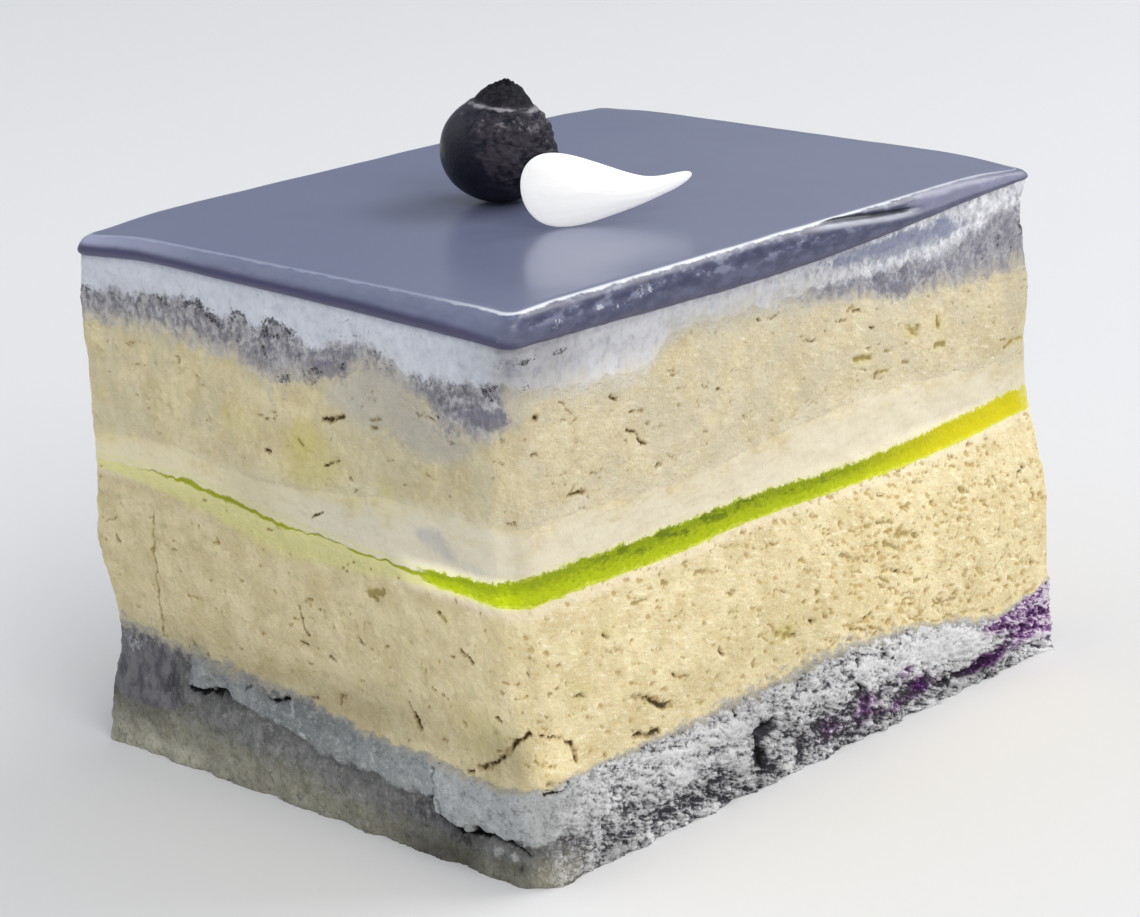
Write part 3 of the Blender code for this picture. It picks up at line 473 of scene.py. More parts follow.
def grains(points, size, seed):
    """One scattered centre in each cell of a grid of that size: distance to the nearest centre, to
    the second nearest, in cells, and the nearest one's own number from 0 to 1."""
    place = points / np.asarray(size, float)
    cell = np.floor(place).astype(np.int64)
    nearest = np.full(place.shape[:-1], 9.0)
    second = nearest.copy()
    tag = np.zeros_like(nearest)
    for step in product((-1, 0, 1), repeat=3):
        other = cell + np.array(step)
        centre = other + np.stack([scramble(other, seed + k) for k in range(3)], -1)
        away = np.linalg.norm(place - centre, axis=-1)
        closer = away < nearest
        second = np.where(closer, nearest, np.minimum(second, away))
        tag = np.where(closer, scramble(other, seed + 3), tag)
        nearest = np.minimum(nearest, away)
    return nearest, second, tag


def marks(s, z, segments, swell=1.0):
    """How deep in a crack each place is, 0 to 1: one less its distance to the nearest segment
    over the segment's half width, eased."""
    deep = np.zeros_like(s)
    for s0, z0, s1, z1, half in segments:
        along = np.array([s1 - s0, z1 - z0])
        t = np.clip(((s - s0) * along[0] + (z - z0) * along[1]) / (along @ along), 0, 1)
        away = np.hypot(s - s0 - t * along[0], z - z0 - t * along[1])
        deep = np.maximum(deep, ease(half * swell - away, 0, half * swell))
    return deep


def wisps(points, size, seed, width, share):
    """Short curved lines: where stretched lumps come within a width of nought, kept where other
    lumps are over a half less the share."""
    keep = ease(rough(points, np.array(size) * 0.9, seed + 5, 2), 0.5 - share, 0.62 - share)
    return ease(width - np.abs(rough(points, size, seed, 3, 0.6)), 0, width) * keep


def spots(s, z, places):
    """Sum of soft spots, each strength times exp of less the squared distance in its reaches."""
    total = np.zeros_like(s)
    for s0, z0, along, up, strength in places:
        total = total + strength * np.exp(-(((s - s0) / along) ** 2) - ((z - z0) / up) ** 2)
    return total


def top_height(y):
    """The glaze falls a little towards +Y."""
    return TOP - TOP_FALL * y / (DEPTH / 2)


def outline(s, z, radius):
    """Point (x, y) and outward direction on the slice's side: a box leaning by LEAN at each height,
    its corners drawn in to a radius."""
    u = np.interp(s, CORNERS, [-1, 1, 1, -1, -1])
    v = np.interp(s, CORNERS, [-1, -1, 1, 1, -1])
    sides = {side: line_through(points, z) for side, points in LEAN.items()}
    x = u * WIDTH / 2 + (1 + u) / 2 * sides["+X"] - (1 - u) / 2 * sides["-X"]
    y = v * DEPTH / 2 + (1 + v) / 2 * sides["+Y"] - (1 - v) / 2 * sides["-Y"]
    half_x = WIDTH / 2 + np.where(u > 0, sides["+X"], sides["-X"])
    half_y = DEPTH / 2 + np.where(v > 0, sides["+Y"], sides["-Y"])
    inner_x = np.maximum(0, np.abs(x) - half_x + radius)
    inner_y = np.maximum(0, np.abs(y) - half_y + radius)
    reach = np.maximum(np.hypot(inner_x, inner_y), 1e-9)
    pull = np.where((inner_x > 0) & (inner_y > 0), 1 - np.maximum(inner_x, inner_y) / reach, 0)
    x = x - np.sign(x) * inner_x * pull
    y = y - np.sign(y) * inner_y * pull
    out = np.stack([u * np.abs(u) ** 8, v * np.abs(v) ** 8, np.zeros_like(u * z)], -1)
    out = out / np.linalg.norm(out, axis=-1, keepdims=True)
    return np.stack([x, y, z + 0 * s], -1), out


def crag(s, z, seed):
    """Three grids of lumps, each a wave that runs round the slice times one that climbs its side."""
    return sum(
        height * np.sin(2 * np.pi * turns * s / GIRTH + 1.7 * seed) * np.cos(climb * z + seed)
        for turns, climb, height in CRAGS
    )


def columns():
    """Distances round the slice of the columns of points, closer on the two cut faces in front."""
    ends = zip(CORNERS[:-1], CORNERS[1:], COLUMNS)
    return np.concatenate([np.linspace(a, b, n, endpoint=False) for a, b, n in ends])


def seam_line(name, s):
    """Height of a seam round the slice: its smooth line and a wobble of two sizes."""
    points, height, size, seed = SEAMS[name]
    ring = np.stack([s, 0 * s, 0 * s], -1)
    return line_through(points, s, GIRTH) + height * rough(ring, size, seed, 3, 0.6)


# ---- Closed surfaces ---------------------------------------------------------------------------


def closed_surface(name, rings, fields):
    """Mesh object from rings of points, first to last, each running the same way round. The first
    and last ring are closed by a point at their middle. Fields become float attributes."""
    count, around = rings.shape[:2]
    poles = np.stack([rings[0].mean(0), rings[-1].mean(0)])
    points = np.concatenate([rings.reshape(-1, 3), poles]) * MM
    row = np.arange(count - 1)[:, None] * around
    here = np.arange(around)[None, :]
    then = np.roll(np.arange(around), -1)[None, :]
    quads = np.stack([row + here, row + then, row + around + then, row + around + here], -1).reshape(-1, 4)
    last = (count - 1) * around
    first_fan = np.stack([np.full(around, count * around), then[0], here[0]], -1)
    last_fan = np.stack([np.full(around, count * around + 1), last + here[0], last + then[0]], -1)
    corners = np.concatenate([quads.ravel(), first_fan.ravel(), last_fan.ravel()]).astype(np.int32)
    sizes = np.concatenate([np.full(len(quads), 4), np.full(2 * around, 3)])
    starts = np.concatenate([[0], np.cumsum(sizes)[:-1]]).astype(np.int32)
    mesh = bpy.data.meshes.new(name)
    mesh.vertices.add(len(points))
    mesh.vertices.foreach_set("co", points.astype(np.float32).ravel())
    mesh.loops.add(len(corners))
    mesh.loops.foreach_set("vertex_index", corners)
    mesh.polygons.add(len(sizes))
    mesh.polygons.foreach_set("loop_start", starts)
    mesh.update(calc_edges=True)
    mesh.shade_smooth()
    for field, values in fields.items():
        values = np.broadcast_to(values, rings.shape[:2])
        ends = [values[0].mean(), values[-1].mean()]
        attribute = mesh.attributes.new(field, "FLOAT", "POINT")
        attribute.data.foreach_set("value", np.concatenate([values.ravel(), ends]).astype(np.float32))
    made = bpy.data.objects.new(name, mesh)
    bpy.context.scene.collection.objects.link(made)
    return made


class Wall:
    """The side of one layer as a grid: rows up it and columns round the slice."""

    def __init__(self, lower, upper, rows):
        around = columns()
        low = seam_line(lower, around) if lower else 0 * around
        high = seam_line(upper, around)
        past = np.array(PAST_SEAM)[:, None] + 0 * around
        inner = low + (high - low) * np.linspace(0, 1, rows + 1)[:, None]
        self.z = np.concatenate([low - past if lower else inner[:0], inner, high + past[::-1]])
        self.s = around + 0 * self.z
        self.share = (self.z - low) / (high - low)
        self.over_low = self.z - low
        self.under_high = high - self.z
        self.side, self.out = outline(self.s, self.z, level_at(LAYER_RADIUS, self.s))
        lost = np.maximum(0, -np.minimum(self.over_low, self.under_high)) / PAST_SEAM[0]
        crumble = CRUMBLE * rough(self.side, 0.9, 40, 3, 0.6)
        self.push = WAVES * crag(self.s, self.z, 3) + crumble - DRAWN_IN * lost**2
        self.level = ease(self.over_low, 0, 0.4) * ease(self.under_high, 0, 0.4)
        self.thin = 1 - ease(self.s, 52, 57) + ease(self.s, 230, 250)
        slant = self.z + SLANT * np.clip(self.s - CORNERS[1], 0, DEPTH)
        self.slanted = np.stack([self.s, 0 * self.s, slant], -1)

    def piece(self, name, node, relief, fields, material):
        """The wall's rows pushed out by their relief, between rings drawn inwards at both ends. The
        fields are carried on over the rings drawn inwards."""
        rows = self.side + self.out * (self.push + relief)[..., None]
        below = [rows[0] - self.out[0] * inset for inset in INSETS]
        above = [rows[-1] - self.out[-1] * inset for inset in reversed(INSETS)]
        fields = {
            "cover": level_at(FRUIT_COVER, self.s),
            "over_low": self.over_low,
            "over_high": -self.under_high,
            "share": self.share,
            "thin": self.thin,
            "round": self.s,
            "slant": self.slanted[..., 2],
            "light": level_at(LEDGE_LIGHT, self.s),
            "left": 1 - ease(self.s, 62, 72) + ease(self.s, 225, 245),
            "soaked": 1 - ease(self.s, 27, 40) + ease(self.s, 240, 270),
            "fade": level_at(BASE_FADE, self.s),
            "past_fruit": self.z - seam_line("fruit top", self.s[0]),
            # tone: the painted light and shade, a factor that darkens or brightens the colour.
            "tone": painted_light_factor(self.s, self.z),
            **fields,
        }
        for key, values in fields.items():
            values = values + 0 * self.s
            fields[key] = np.concatenate([values[:1]] * len(INSETS) + [values] + [values[-1:]] * len(INSETS))
        finish_piece(closed_surface(name, np.concatenate([below, rows, above]), fields), material, node)


def painted_light_factor(s, z):
    """Painted light and shade: between two heights, a mix of their lines round the slice."""
    heights = [height for height, _ in PAINTED_LIGHT_ROWS]
    rows = [level_at(line, s) for _, line in PAINTED_LIGHT_ROWS]
    shares = [np.interp(z, heights, one) for one in np.eye(len(heights))]
    return sum(share * row for share, row in zip(shares, rows))


def finish_piece(piece, material, node):
    """Gives the piece its material and its place on the cake."""
    piece.data.materials.append(material)
    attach(piece, "root")
    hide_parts(node)


# ---- Materials ---------------------------------------------------------------------------------

# Noise of the finishes: size in millimetres, detail, roughness, how many times longer along each axis,
# and distortion. Two numbers in place of three axes are along and up a slant that falls to the right
# on the +X face.
TEXTURES = {
    "crumb clouds": (4.0, 3, 0.6),
    "uprights": (0.9, 3, 0.6, (1, 1, 2.2)),
    "brushed": (0.6, 4, 0.66, (2.6, 1)),
    "flecks": (0.45, 4, 0.66, (1.4, 1.4, 1)),
    "pricks": (0.3, 2),
    "smudges": (1.5, 4, 0.64, (1.2, 1.2, 1), 0.3),
    "stain edge": (0.65, 4, 0.62),
    "pit edge": (0.5, 4, 0.62),
    "fine crumb": (0.35, 3, 0.6),
    "trowelled": (1.8, 4, 0.6, (2.2, 2.2, 0.8)),
    "long smears": (2.4, 5, 0.62, (2.2, 2.2, 0.8)),
    "fruit fringe": (1.2, 5, 0.64, (1, 1, 1.4)),
    "cream frizz": (0.7, 5, 0.7),
    "bare clouds": (1.6, 5, 0.66),
    "crumbled": (1.1, 5, 0.68, (1.3, 1.3, 1)),
    "crust": (0.45, 4, 0.66),
    "chalk smears": (1.0, 5, 0.68, (1.3, 1.3, 0.9), 0.4),
    "specks": (0.4, 4, 0.68),
    "halo edge": (0.65, 3, 0.6),
    "dash edge": (0.4, 4, 0.64),
    "cool clouds": (6.0, 3, 0.6),
    "gel": (0.5, 4, 0.65, (1.5, 1.5, 0.8)),
    "gel edge": (0.5, 4, 0.65),
    "gel blots": (1.5, 4, 0.6, (1.6, 1.6, 0.6)),
    "gel bumps": (0.3, 2, 0.6),
    "gel lumps": (0.5, 3, 0.6),
    "jags": (0.55, 4, 0.68),
    "filling edge": (0.7, 3, 0.6),
    "filling flecks": (0.35, 2),
    "filling bumps": (0.35, 2, 0.6),
    "pulp": (0.75, 4, 0.6, (1.1, 1.1, 1.4), 0.4),
    "pulp clouds": (2.6, 3, 0.6),
    "clot frizz": (0.28, 3, 0.6),
    "cream clouds": (3.0, 4, 0.6, (1.4, 1.4, 1.2)),
    "cream specks": (0.45, 3, 0.65),
    "freckle clouds": (3.0,),
    "juice streaks": (0.8, 4, 0.62, (1.2, 1.2, 1.3), 0.3),
    "base clouds": (2.6, 4, 0.62),
    "blots": (0.9, 5, 0.68, (1, 1, 1), 0.5),
    "fibres": (0.5, 4, 0.64, (1, 1, 2.6), 0.3),
    "fallen fibres": (0.5, 5, 0.7, (2.4, 1), 0.3),
    "long fibres": (1.3, 4, 0.62, (1, 1, 2.4), 0.5),
    "scuff specks": (0.5, 3, 0.65),
    "mottle": (1.6, 4, 0.6, (1.6, 1.6, 0.7)),
    "broad tone": (16.0, 2),
    "foot edge": (3.0,),
    "rim edge": (2.0, 4, 0.6),
    "glaze swell": (9.0, 1, 0.4),
    "dust": (0.8, 4, 0.65),
    "skin clouds": (4.0, 3),
    "skin bumps": (0.3, 2),
    "veins": (0.5, 2, 0.5, (2.5, 4, 0.8)),
    "floor clouds": (60.0, 2),
    "floor bumps": (2.0, 2),
}
# Edge of the upper of two layers at their seam: its noise, how far that strays, and the distances
# above the seam where the upper layer starts and where it is whole.
SEAM_EDGES = {
    "sponge over filling": ("long smears", 13.0, -2.6, 2.6),
    "fruit over sponge": ("fruit fringe", 7.5, -1.5, 2.3),
    "cream over fruit": ("cream frizz", 4.4, -0.7, 0.7),
    "filling over curd": ("jags", 1.6, -0.14, 0.14),
    "bare cream": ("bare clouds", 8.0, -2.6, 2.8),
}


class Value:
    """A number, colour or vector on its way through a material. Arithmetic adds Math nodes."""

    def __init__(self, nodes, socket):
        self.nodes = nodes
        self.socket = socket

    def maths(self, operation, first, second):
        return self.nodes.node("ShaderNodeMath", {"operation": operation}, {0: first, 1: second})

    def __add__(self, other):
        return self.maths("ADD", self, other)

    def __sub__(self, other):
        return self.maths("SUBTRACT", self, other)

    def __rsub__(self, other):
        return self.maths("SUBTRACT", other, self)

    def __mul__(self, other):
        return self.maths("MULTIPLY", self, other)

    __radd__ = __add__
    __rmul__ = __mul__


class Nodes:
    """A node tree under construction."""

    def __init__(self, tree):
        self.tree = tree

    def node(self, kind, settings, sockets, output=0):
        """Adds a node, sets it up, then fills its sockets with values or links."""
        made = self.tree.nodes.new(kind)
        for key, value in settings.items():
            setattr(made, key, value)
        for key, value in sockets.items():
            self.fill(made.inputs[key], value)
        return Value(self, made.outputs[output])

    def fill(self, socket, value):
        """Gives a socket a value or a link."""
        if isinstance(value, Value):
            self.tree.links.new(value.socket, socket)
        else:
            socket.default_value = value

    def dot(self, vector, direction):
        """Dot product of a vector and a direction."""
        return self.node("ShaderNodeVectorMath", {"operation": "DOT_PRODUCT"}, {0: vector, 1: direction}, 1)

    def ease(self, value, low, high, start=0.0, end=1.0):
        """start below low, end above high, smooth between."""
        sockets = {"Value": value, "From Min": low, "From Max": high, "To Min": start, "To Max": end}
        return self.node("ShaderNodeMapRange", {"interpolation_type": "SMOOTHSTEP"}, sockets)

    def mix(self, share, first, second, blend="MIX"):
        """The first colour at share 0 and the second at share 1."""
        first, second = (c if isinstance(c, Value) else (*c, 1) for c in (first, second))
        settings = {"data_type": "RGBA", "blend_type": blend, "clamp_factor": True}
        return self.node("ShaderNodeMix", settings, {0: share, 6: first, 7: second}, 2)


class Finish(Nodes):
    """A material under construction, on Object coordinates in millimetres."""

    def __init__(self, name):
        self.material = bpy.data.materials.new(name)
        self.material.use_nodes = True
        super().__init__(self.material.node_tree)
        self.surface = self.tree.nodes["Principled BSDF"]
        self.textures = {}
        place = self.node("ShaderNodeTexCoord", {}, {}, "Object")
        self.mm = self.node("ShaderNodeVectorMath", {"operation": "SCALE"}, {0: place, "Scale": 1 / MM})

    def field(self, name):
        """The piece's own float attribute of that name."""
        return self.node("ShaderNodeAttribute", {"attribute_name": name}, {}, "Fac")

    def noise(self, size, detail=3, roughness=0.5, stretch=(1, 1, 1), distortion=0):
        """Noise from 0 to 1 with features of a size in millimetres."""
        factors = tuple(1 / times for times in stretch)
        if len(stretch) == 2:
            parts = {0: self.field("round") * factors[0], 2: self.field("slant") * factors[1]}
            place = self.node("ShaderNodeCombineXYZ", {}, parts)
        else:
            place = self.node("ShaderNodeVectorMath", {"operation": "MULTIPLY"}, {0: self.mm, 1: factors})
        sockets = {"Vector": place, "Scale": 1 / size, "Detail": detail}
        sockets.update({"Roughness": roughness, "Distortion": distortion})
        return self.node("ShaderNodeTexNoise", {}, sockets)

    def texture(self, name):
        """The noise of that name, made once in each material."""
        if name not in self.textures:
            self.textures[name] = self.noise(*TEXTURES[name])
        return self.textures[name]

    def ragged(self, name):
        """The noise of that name about nought."""
        return self.texture(name) - 0.5

    def seam(self, name, above):
        """Share of the upper layer at a distance above a seam whose edge is strayed by noise."""
        texture, stray, low, high = SEAM_EDGES[name]
        return self.ease(above + self.ragged(texture) * stray, low, high)

    def coats(self, shade, *rows):
        """The shade under coats, laid on in turn. A coat is its share and colour, or a value or the
        name of a noise, the two values that it is eased between, its strength and its colour; masks
        after those multiply its share."""
        for share, *row in rows:
            if len(row) > 1:
                low, high, strength, coat, *masks = row
                share = self.texture(share) if isinstance(share, str) else share
                share = self.ease(share, low, high, 0, strength)
                for mask in masks:
                    share = share * mask
            else:
                coat = row[0]
            shade = self.mix(share, shade, coat)
        return shade

    def finish(self, colour, roughness, relief, bump, **constants):
        """Fills the shader with colour and roughness, and a relief in millimetres as bump. Constants
        go on the shader's own sockets."""
        normal = self.node("ShaderNodeBump", {}, {"Strength": bump, "Distance": MM, "Height": relief})
        self.fill(self.surface.inputs["Base Color"], colour)
        self.fill(self.surface.inputs["Roughness"], roughness)
        self.fill(self.surface.inputs["Normal"], normal)
        for name, value in constants.items():
            self.surface.inputs[name.replace("_", " ")].default_value = value
        return self.material

    def dull(self, shade, roughness, relief, bump, specular):
        """A wall's finish: its colour times the painted light and shade of each place."""
        painted_light_shade = self.mix(1.0, shade, self.field("tone"), "MULTIPLY")
        return self.finish(painted_light_shade, roughness, relief, bump, Specular_IOR_Level=specular)


# ---- Settings ----------------------------------------------------------------------------------


def colour(name, description, value):
    return bpy.props.FloatVectorProperty(
        name=name, description=description, subtype="COLOR", size=3, min=0, max=1, default=value
    )


def length(name, description, value):
    return bpy.props.FloatProperty(
        name=name, description=description, unit="LENGTH", subtype="DISTANCE", min=0, default=value * MM
    )


class CakeColours(bpy.types.PropertyGroup):
    """Colours of the cake's parts."""

    sponge_pale: colour("Sponge, pale", "Lighter colour of both sponges", (0.83, 0.72, 0.445))
    sponge_deep: colour("Sponge, deep", "Deeper colour of both sponges", (0.70, 0.585, 0.33))
    # Near-black painted shade in the cores of the cracks.
    crack: colour("Cracks", "Colour inside the dark cracks", (0.075, 0.052, 0.022))
    tint: colour("Curd tint", "Yellow-green where curd has soaked in", (0.66, 0.58, 0.18))
    halo: colour("Curd halo", "Pale yellow beside the curd", (0.79, 0.745, 0.31))
    cream: colour("Cream", "Cream under the glaze", (0.70, 0.72, 0.785))
    filling: colour("Filling", "Pale cream over the curd", (0.87, 0.80, 0.62))
    curd_green: colour("Curd, green", "Curd at the front corner", (0.26, 0.33, 0.003))
    curd_yellow: colour("Curd, yellow", "Curd at the far end", (0.60, 0.53, 0.008))
    fruit_dark: colour("Fruit, dark", "Darkest fruit in the layers", (0.050, 0.047, 0.058))
    fruit_violet: colour("Fruit, violet", "Violet of the fruit layers", (0.18, 0.175, 0.235))
    fruit_purple: colour("Juice", "Purple juice at the base", (0.13, 0.014, 0.18))
    glaze: colour("Glaze", "Mirror glaze", (0.138, 0.158, 0.262))
    berry: colour("Berry", "Berry skin", (0.007, 0.0075, 0.015))
    bloom: colour("Berry bloom", "Dusty bloom on the berry", (0.050, 0.041, 0.054))
    petal: colour("Petal", "White petal", (0.97, 0.965, 0.93))
    floor: colour("Floor", "Studio floor", (0.78, 0.78, 0.79))


class CakeSizes(bpy.types.PropertyGroup):
    """Sizes of the cake's surface detail."""

    crumb: length("Crumb relief", "Height of the sponge's crumb", 0.16)
    pits: length("Pit depth", "Depth of the sponge's pits", 0.42)
    cracks: length("Crack depth", "Depth of the dark cracks", 0.55)
    fingers: length("Finger relief", "Height of the fruit layer's streaks", 0.3)
    boulders: length("Base relief", "Height of the base's crumbs", 0.55)
    berry_radius: length("Berry radius", "Half the berry's width", 6.65)
    petal_thickness: length("Petal thickness", "Thickness of the petal", 0.7)


def settings():
    return bpy.context.scene.cake_colours, bpy.context.scene.cake_sizes


# ---- Sponges -----------------------------------------------------------------------------------

# Colours of the pits' rims, and of their depths darkened as painted shade, in the lower sponge and
# in the two layers over it.
LOWER_PITS = ((0.56, 0.40, 0.15), (0.26, 0.16, 0.045))
UPPER_PITS = ((0.52, 0.40, 0.19), (0.24, 0.16, 0.06))


def swayed(wall, height, size, seed):
    """The wall's places moved by ragged lumps, so that what is laid at them has ragged edges."""
    sway = [height * rough(wall.side, size, seed + k, 3, 0.65) for k in (0, 1)]
    return wall.s + sway[0], wall.z + sway[1]


def stains(s, z):
    """How stained each place is with curd, fruit, grey juice and dark clots."""
    lists = {"tint": GREEN_TINTS, "violet": VIOLET_STAINS, "grey": GREY_STAINS, "clot": CLOTS}
    return {name: spots(s, z, places) for name, places in lists.items()}


def sponge_relief(wall, marked, seed):
    """Crumb: lumps of three sizes, less thin slanted wisps and small holes where the sponge is
    marked, less the named cracks and pits. Returns the relief and the material's fields."""
    sizes = settings()[1]
    points = wall.side
    s, z = swayed(wall, 0.4, 0.8, seed)
    uneven = ease(rough(points, 0.9, seed + 4, 3, 0.7), -0.35, 0.25)
    cracks = marks(s, z, CRACKS, 1.15) * (0.4 + 0.6 * uneven)
    browns = marks(s, z, BROWN_PITS, 1.5) * (0.4 + 0.6 * uneven)
    thin = wisps(wall.slanted, (2.0, 1.0, 0.7), seed + 20, 0.12, marked)
    near, _, tag = grains(points, (1.3, 1.3, 0.8), seed + 5)
    holes = ease(0.16 * marked - tag, 0, 0.04) * ease(0.42 - near, 0, 0.25)
    bend = 0.3 * rough(points, 1.2, seed + 30, 2)[..., None]
    near, _, tag = grains(wall.slanted + bend, (1.5, 1.0, 0.85), seed + 31)
    dashes = ease(1.5 * marked - tag, 0, 0.2) * ease(0.44 - near, 0, 0.24)
    crumb = rough(points, 1.7, seed + 13, 3, 0.6) + 0.5 * rough(points, 0.6, seed + 17, 2)
    relief = sizes.crumb / MM * crumb - sizes.cracks / MM * cracks
    relief = relief - sizes.pits / MM * (0.7 * thin + holes + 0.8 * browns + 0.3 * dashes)
    fields = stains(s, z)
    fields.update({"crack": cracks, "pit": np.clip(thin + holes, 0, 1), "brown": browns, "dash": dashes})
    return relief * wall.level, fields


def sponge_shade(mat, colours):
    """The crumb's beige: two beiges in clouds, streaks that are upright on the -Y face and slanted
    on the +X face, pale and deep flecks, olive smudges on the -Y face, and pinpricks."""
    left = mat.field("left")
    right = 1.0 - left
    return mat.coats(
        colours.sponge_pale,
        ("crumb clouds", 0.35, 0.65, 1, colours.sponge_deep),
        ("uprights", 0.52, 0.66, 0.4, (0.62, 0.55, 0.30), left),
        ("uprights", 0.46, 0.32, 0.25, (0.86, 0.78, 0.56)),
        ("brushed", 0.52, 0.68, 0.7, (0.66, 0.49, 0.25), right),
        ("brushed", 0.47, 0.3, 0.75, (0.97, 0.90, 0.70), right),
        ("flecks", 0.54, 0.68, 0.4, colours.sponge_deep),
        ("flecks", 0.44, 0.3, 0.45, (0.92, 0.83, 0.60)),
        ("smudges", 0.55, 0.7, 0.4, (0.44, 0.38, 0.19), left),
        ("pricks", 0.71, 0.79, 0.4, (0.34, 0.26, 0.11)),
    )


def stained(mat, shade, colours):
    """The shade with the curd's, the juice's and the fruit's stains."""
    ragged = mat.ragged("stain edge")
    return mat.coats(
        shade,
        (mat.field("tint") + ragged * 0.9, 0, 1.1, 0.6, colours.tint),
        (mat.field("grey") + ragged, 0.1, 1.1, 0.6, (0.50, 0.49, 0.475)),
        (mat.field("violet") + ragged * 1.8, 0.25, 1, 0.75, colours.fruit_violet),
    )


def pitted(mat, shade, colours, pits):
    """The shade with pits painted darker inwards as shade, olive-brown marks, and cracks with a brown
    fringe round a core of painted shade.
    """
    ragged = mat.ragged("pit edge")
    pit = mat.field("pit") + ragged * 0.5
    crack = mat.field("crack") + ragged * 0.7
    return mat.coats(
        shade,
        # Painted shade: pits darker towards their depths.
        (pit, 0.12, 0.6, 0.7, pits[0]),
        (pit, 0.6, 1, 0.7, pits[1]),
        (mat.field("brown") + ragged * 0.9, 0.1, 0.75, 0.8, (0.36, 0.27, 0.09)),
        (crack, 0.04, 0.35, 0.65, (0.40, 0.28, 0.11)),
        # Painted shade: near black in the crack's core.
        (crack, 0.34, 0.75, 0.95, colours.crack),
    )


def crumb_finish(mat, shade):
    """Dull crumb with a fine relief."""
    relief = mat.texture("fine crumb") * 0.26 - mat.texture("flecks") * 0.2
    return mat.dull(shade, 0.92, relief, 1, 0.2)


def filling_shade(mat, colours):
    """The pale cream's colour, trowelled along the slice, yellower on the -Y face and soaked with
    crumb towards its far end."""
    return mat.coats(
        colours.filling,
        ("trowelled", 0.35, 0.7, 1, (0.80, 0.72, 0.54)),
        (mat.field("left") * 0.45, (0.78, 0.72, 0.54)),
        (mat.field("soaked") * 0.8, (0.80, 0.705, 0.46)),
    )


def base_and_sponge(mat, above, base, sponge):
    """The base's shade below and the sponge's above a seam, at a distance above it, with a crust of
    mixed crumbs between them, all softer where the base has crumbled."""
    fade = mat.field("fade")
    share = mat.ease(above + mat.ragged("crumbled") * (fade * 4.0), fade * -1.0, fade)
    crust = mat.mix(mat.texture("crust"), (0.30, 0.28, 0.24), (0.74, 0.69, 0.56))
    return mat.coats(base, (share, 0, 0.5, 1, crust), (share, 0.5, 1, 1, sponge))


def chalk_shade(mat):
    """The base's pale ledge: mottled grey, lighter where its light is."""
    return mat.coats(
        (0.24, 0.255, 0.25),
        (mat.field("light"), (0.56, 0.575, 0.575)),
        ("chalk smears", 0.52, 0.68, 0.45, (0.78, 0.80, 0.81)),
        ("chalk smears", 0.48, 0.32, 0.7, (0.18, 0.19, 0.195)),
        ("specks", 0.54, 0.68, 0.3, (0.74, 0.76, 0.77)),
        ("specks", 0.44, 0.3, 0.5, (0.12, 0.125, 0.13)),
    )


def make_lower_sponge():
    """The lower sponge's wall, most marked on the +X face towards +Y. Below it turns into the base
    and above, on the -Y face, the curd has soaked into it."""
    colours = settings()[0]
    wall = Wall("base top", "curd bottom", 76)
    low = bell(wall.z, 11.5, 2.6) * (1 - ease(wall.s, 150, 156))
    marked = 0.16 * ease(wall.s, 108, 118) * bell(wall.z, 22, 3) + 0.3 * ease(wall.s, 114, 122) * low
    relief, fields = sponge_relief(wall, level_at(LOWER_MARKED, wall.s) + marked, 100)
    reach = level_at(HALO_REACH, wall.s)
    fields["halo"] = 1 - ease(wall.under_high, 0.35 * reach, 1.1 * reach)
    mat = Finish("lower_sponge")
    ragged = mat.ragged("halo edge")
    shade = mat.coats(
        sponge_shade(mat, colours),
        (mat.field("over_high") - ragged * 0.8, -1.7, -0.7, 0.7, (0.88, 0.78, 0.56)),
        (mat.field("halo") + ragged * 0.5, 0.1, 1, 0.8, colours.halo),
    )
    dashes = mat.field("dash") + mat.ragged("dash edge") * 0.9
    shade = mat.coats(stained(mat, shade, colours), (dashes, 0.2, 0.8, 0.75, (0.53, 0.36, 0.13)))
    shade = base_and_sponge(mat, mat.field("over_low"), chalk_shade(mat), shade)
    shade = pitted(mat, shade, colours, LOWER_PITS)
    wall.piece("sponge_lower", "lower_sponge", relief, fields, crumb_finish(mat, shade))


def make_upper_sponge():
    """The upper sponge's wall, with few marks. Below it turns into the filling and above into the
    fruit."""
    colours = settings()[0]
    wall = Wall("filling top", "fruit bottom", 60)
    relief, fields = sponge_relief(wall, level_at(UPPER_MARKED, wall.s), 200)
    mat = Finish("upper_sponge")
    cover = mat.field("cover")
    sponge = mat.coats(
        sponge_shade(mat, colours),
        ("cool clouds", 0.38, 0.6, 0.4, (0.62, 0.57, 0.44)),
        ((1.0 - mat.field("left")) * 0.14, (0.80, 0.78, 0.74)),
    )
    shade = mat.coats(
        filling_shade(mat, colours),
        (mat.seam("sponge over filling", mat.field("over_low")), sponge),
        (mat.seam("fruit over sponge", mat.field("over_high")) * cover * 0.8, (0.50, 0.475, 0.43)),
        (mat.seam("bare cream", mat.field("past_fruit")) * (1.0 - cover), (0.78, 0.765, 0.74)),
    )
    shade = pitted(mat, stained(mat, shade, colours), colours, UPPER_PITS)
    wall.piece("sponge_upper", "upper_sponge", relief, fields, crumb_finish(mat, shade))


# ---- Curd and filling --------------------------------------------------------------------------


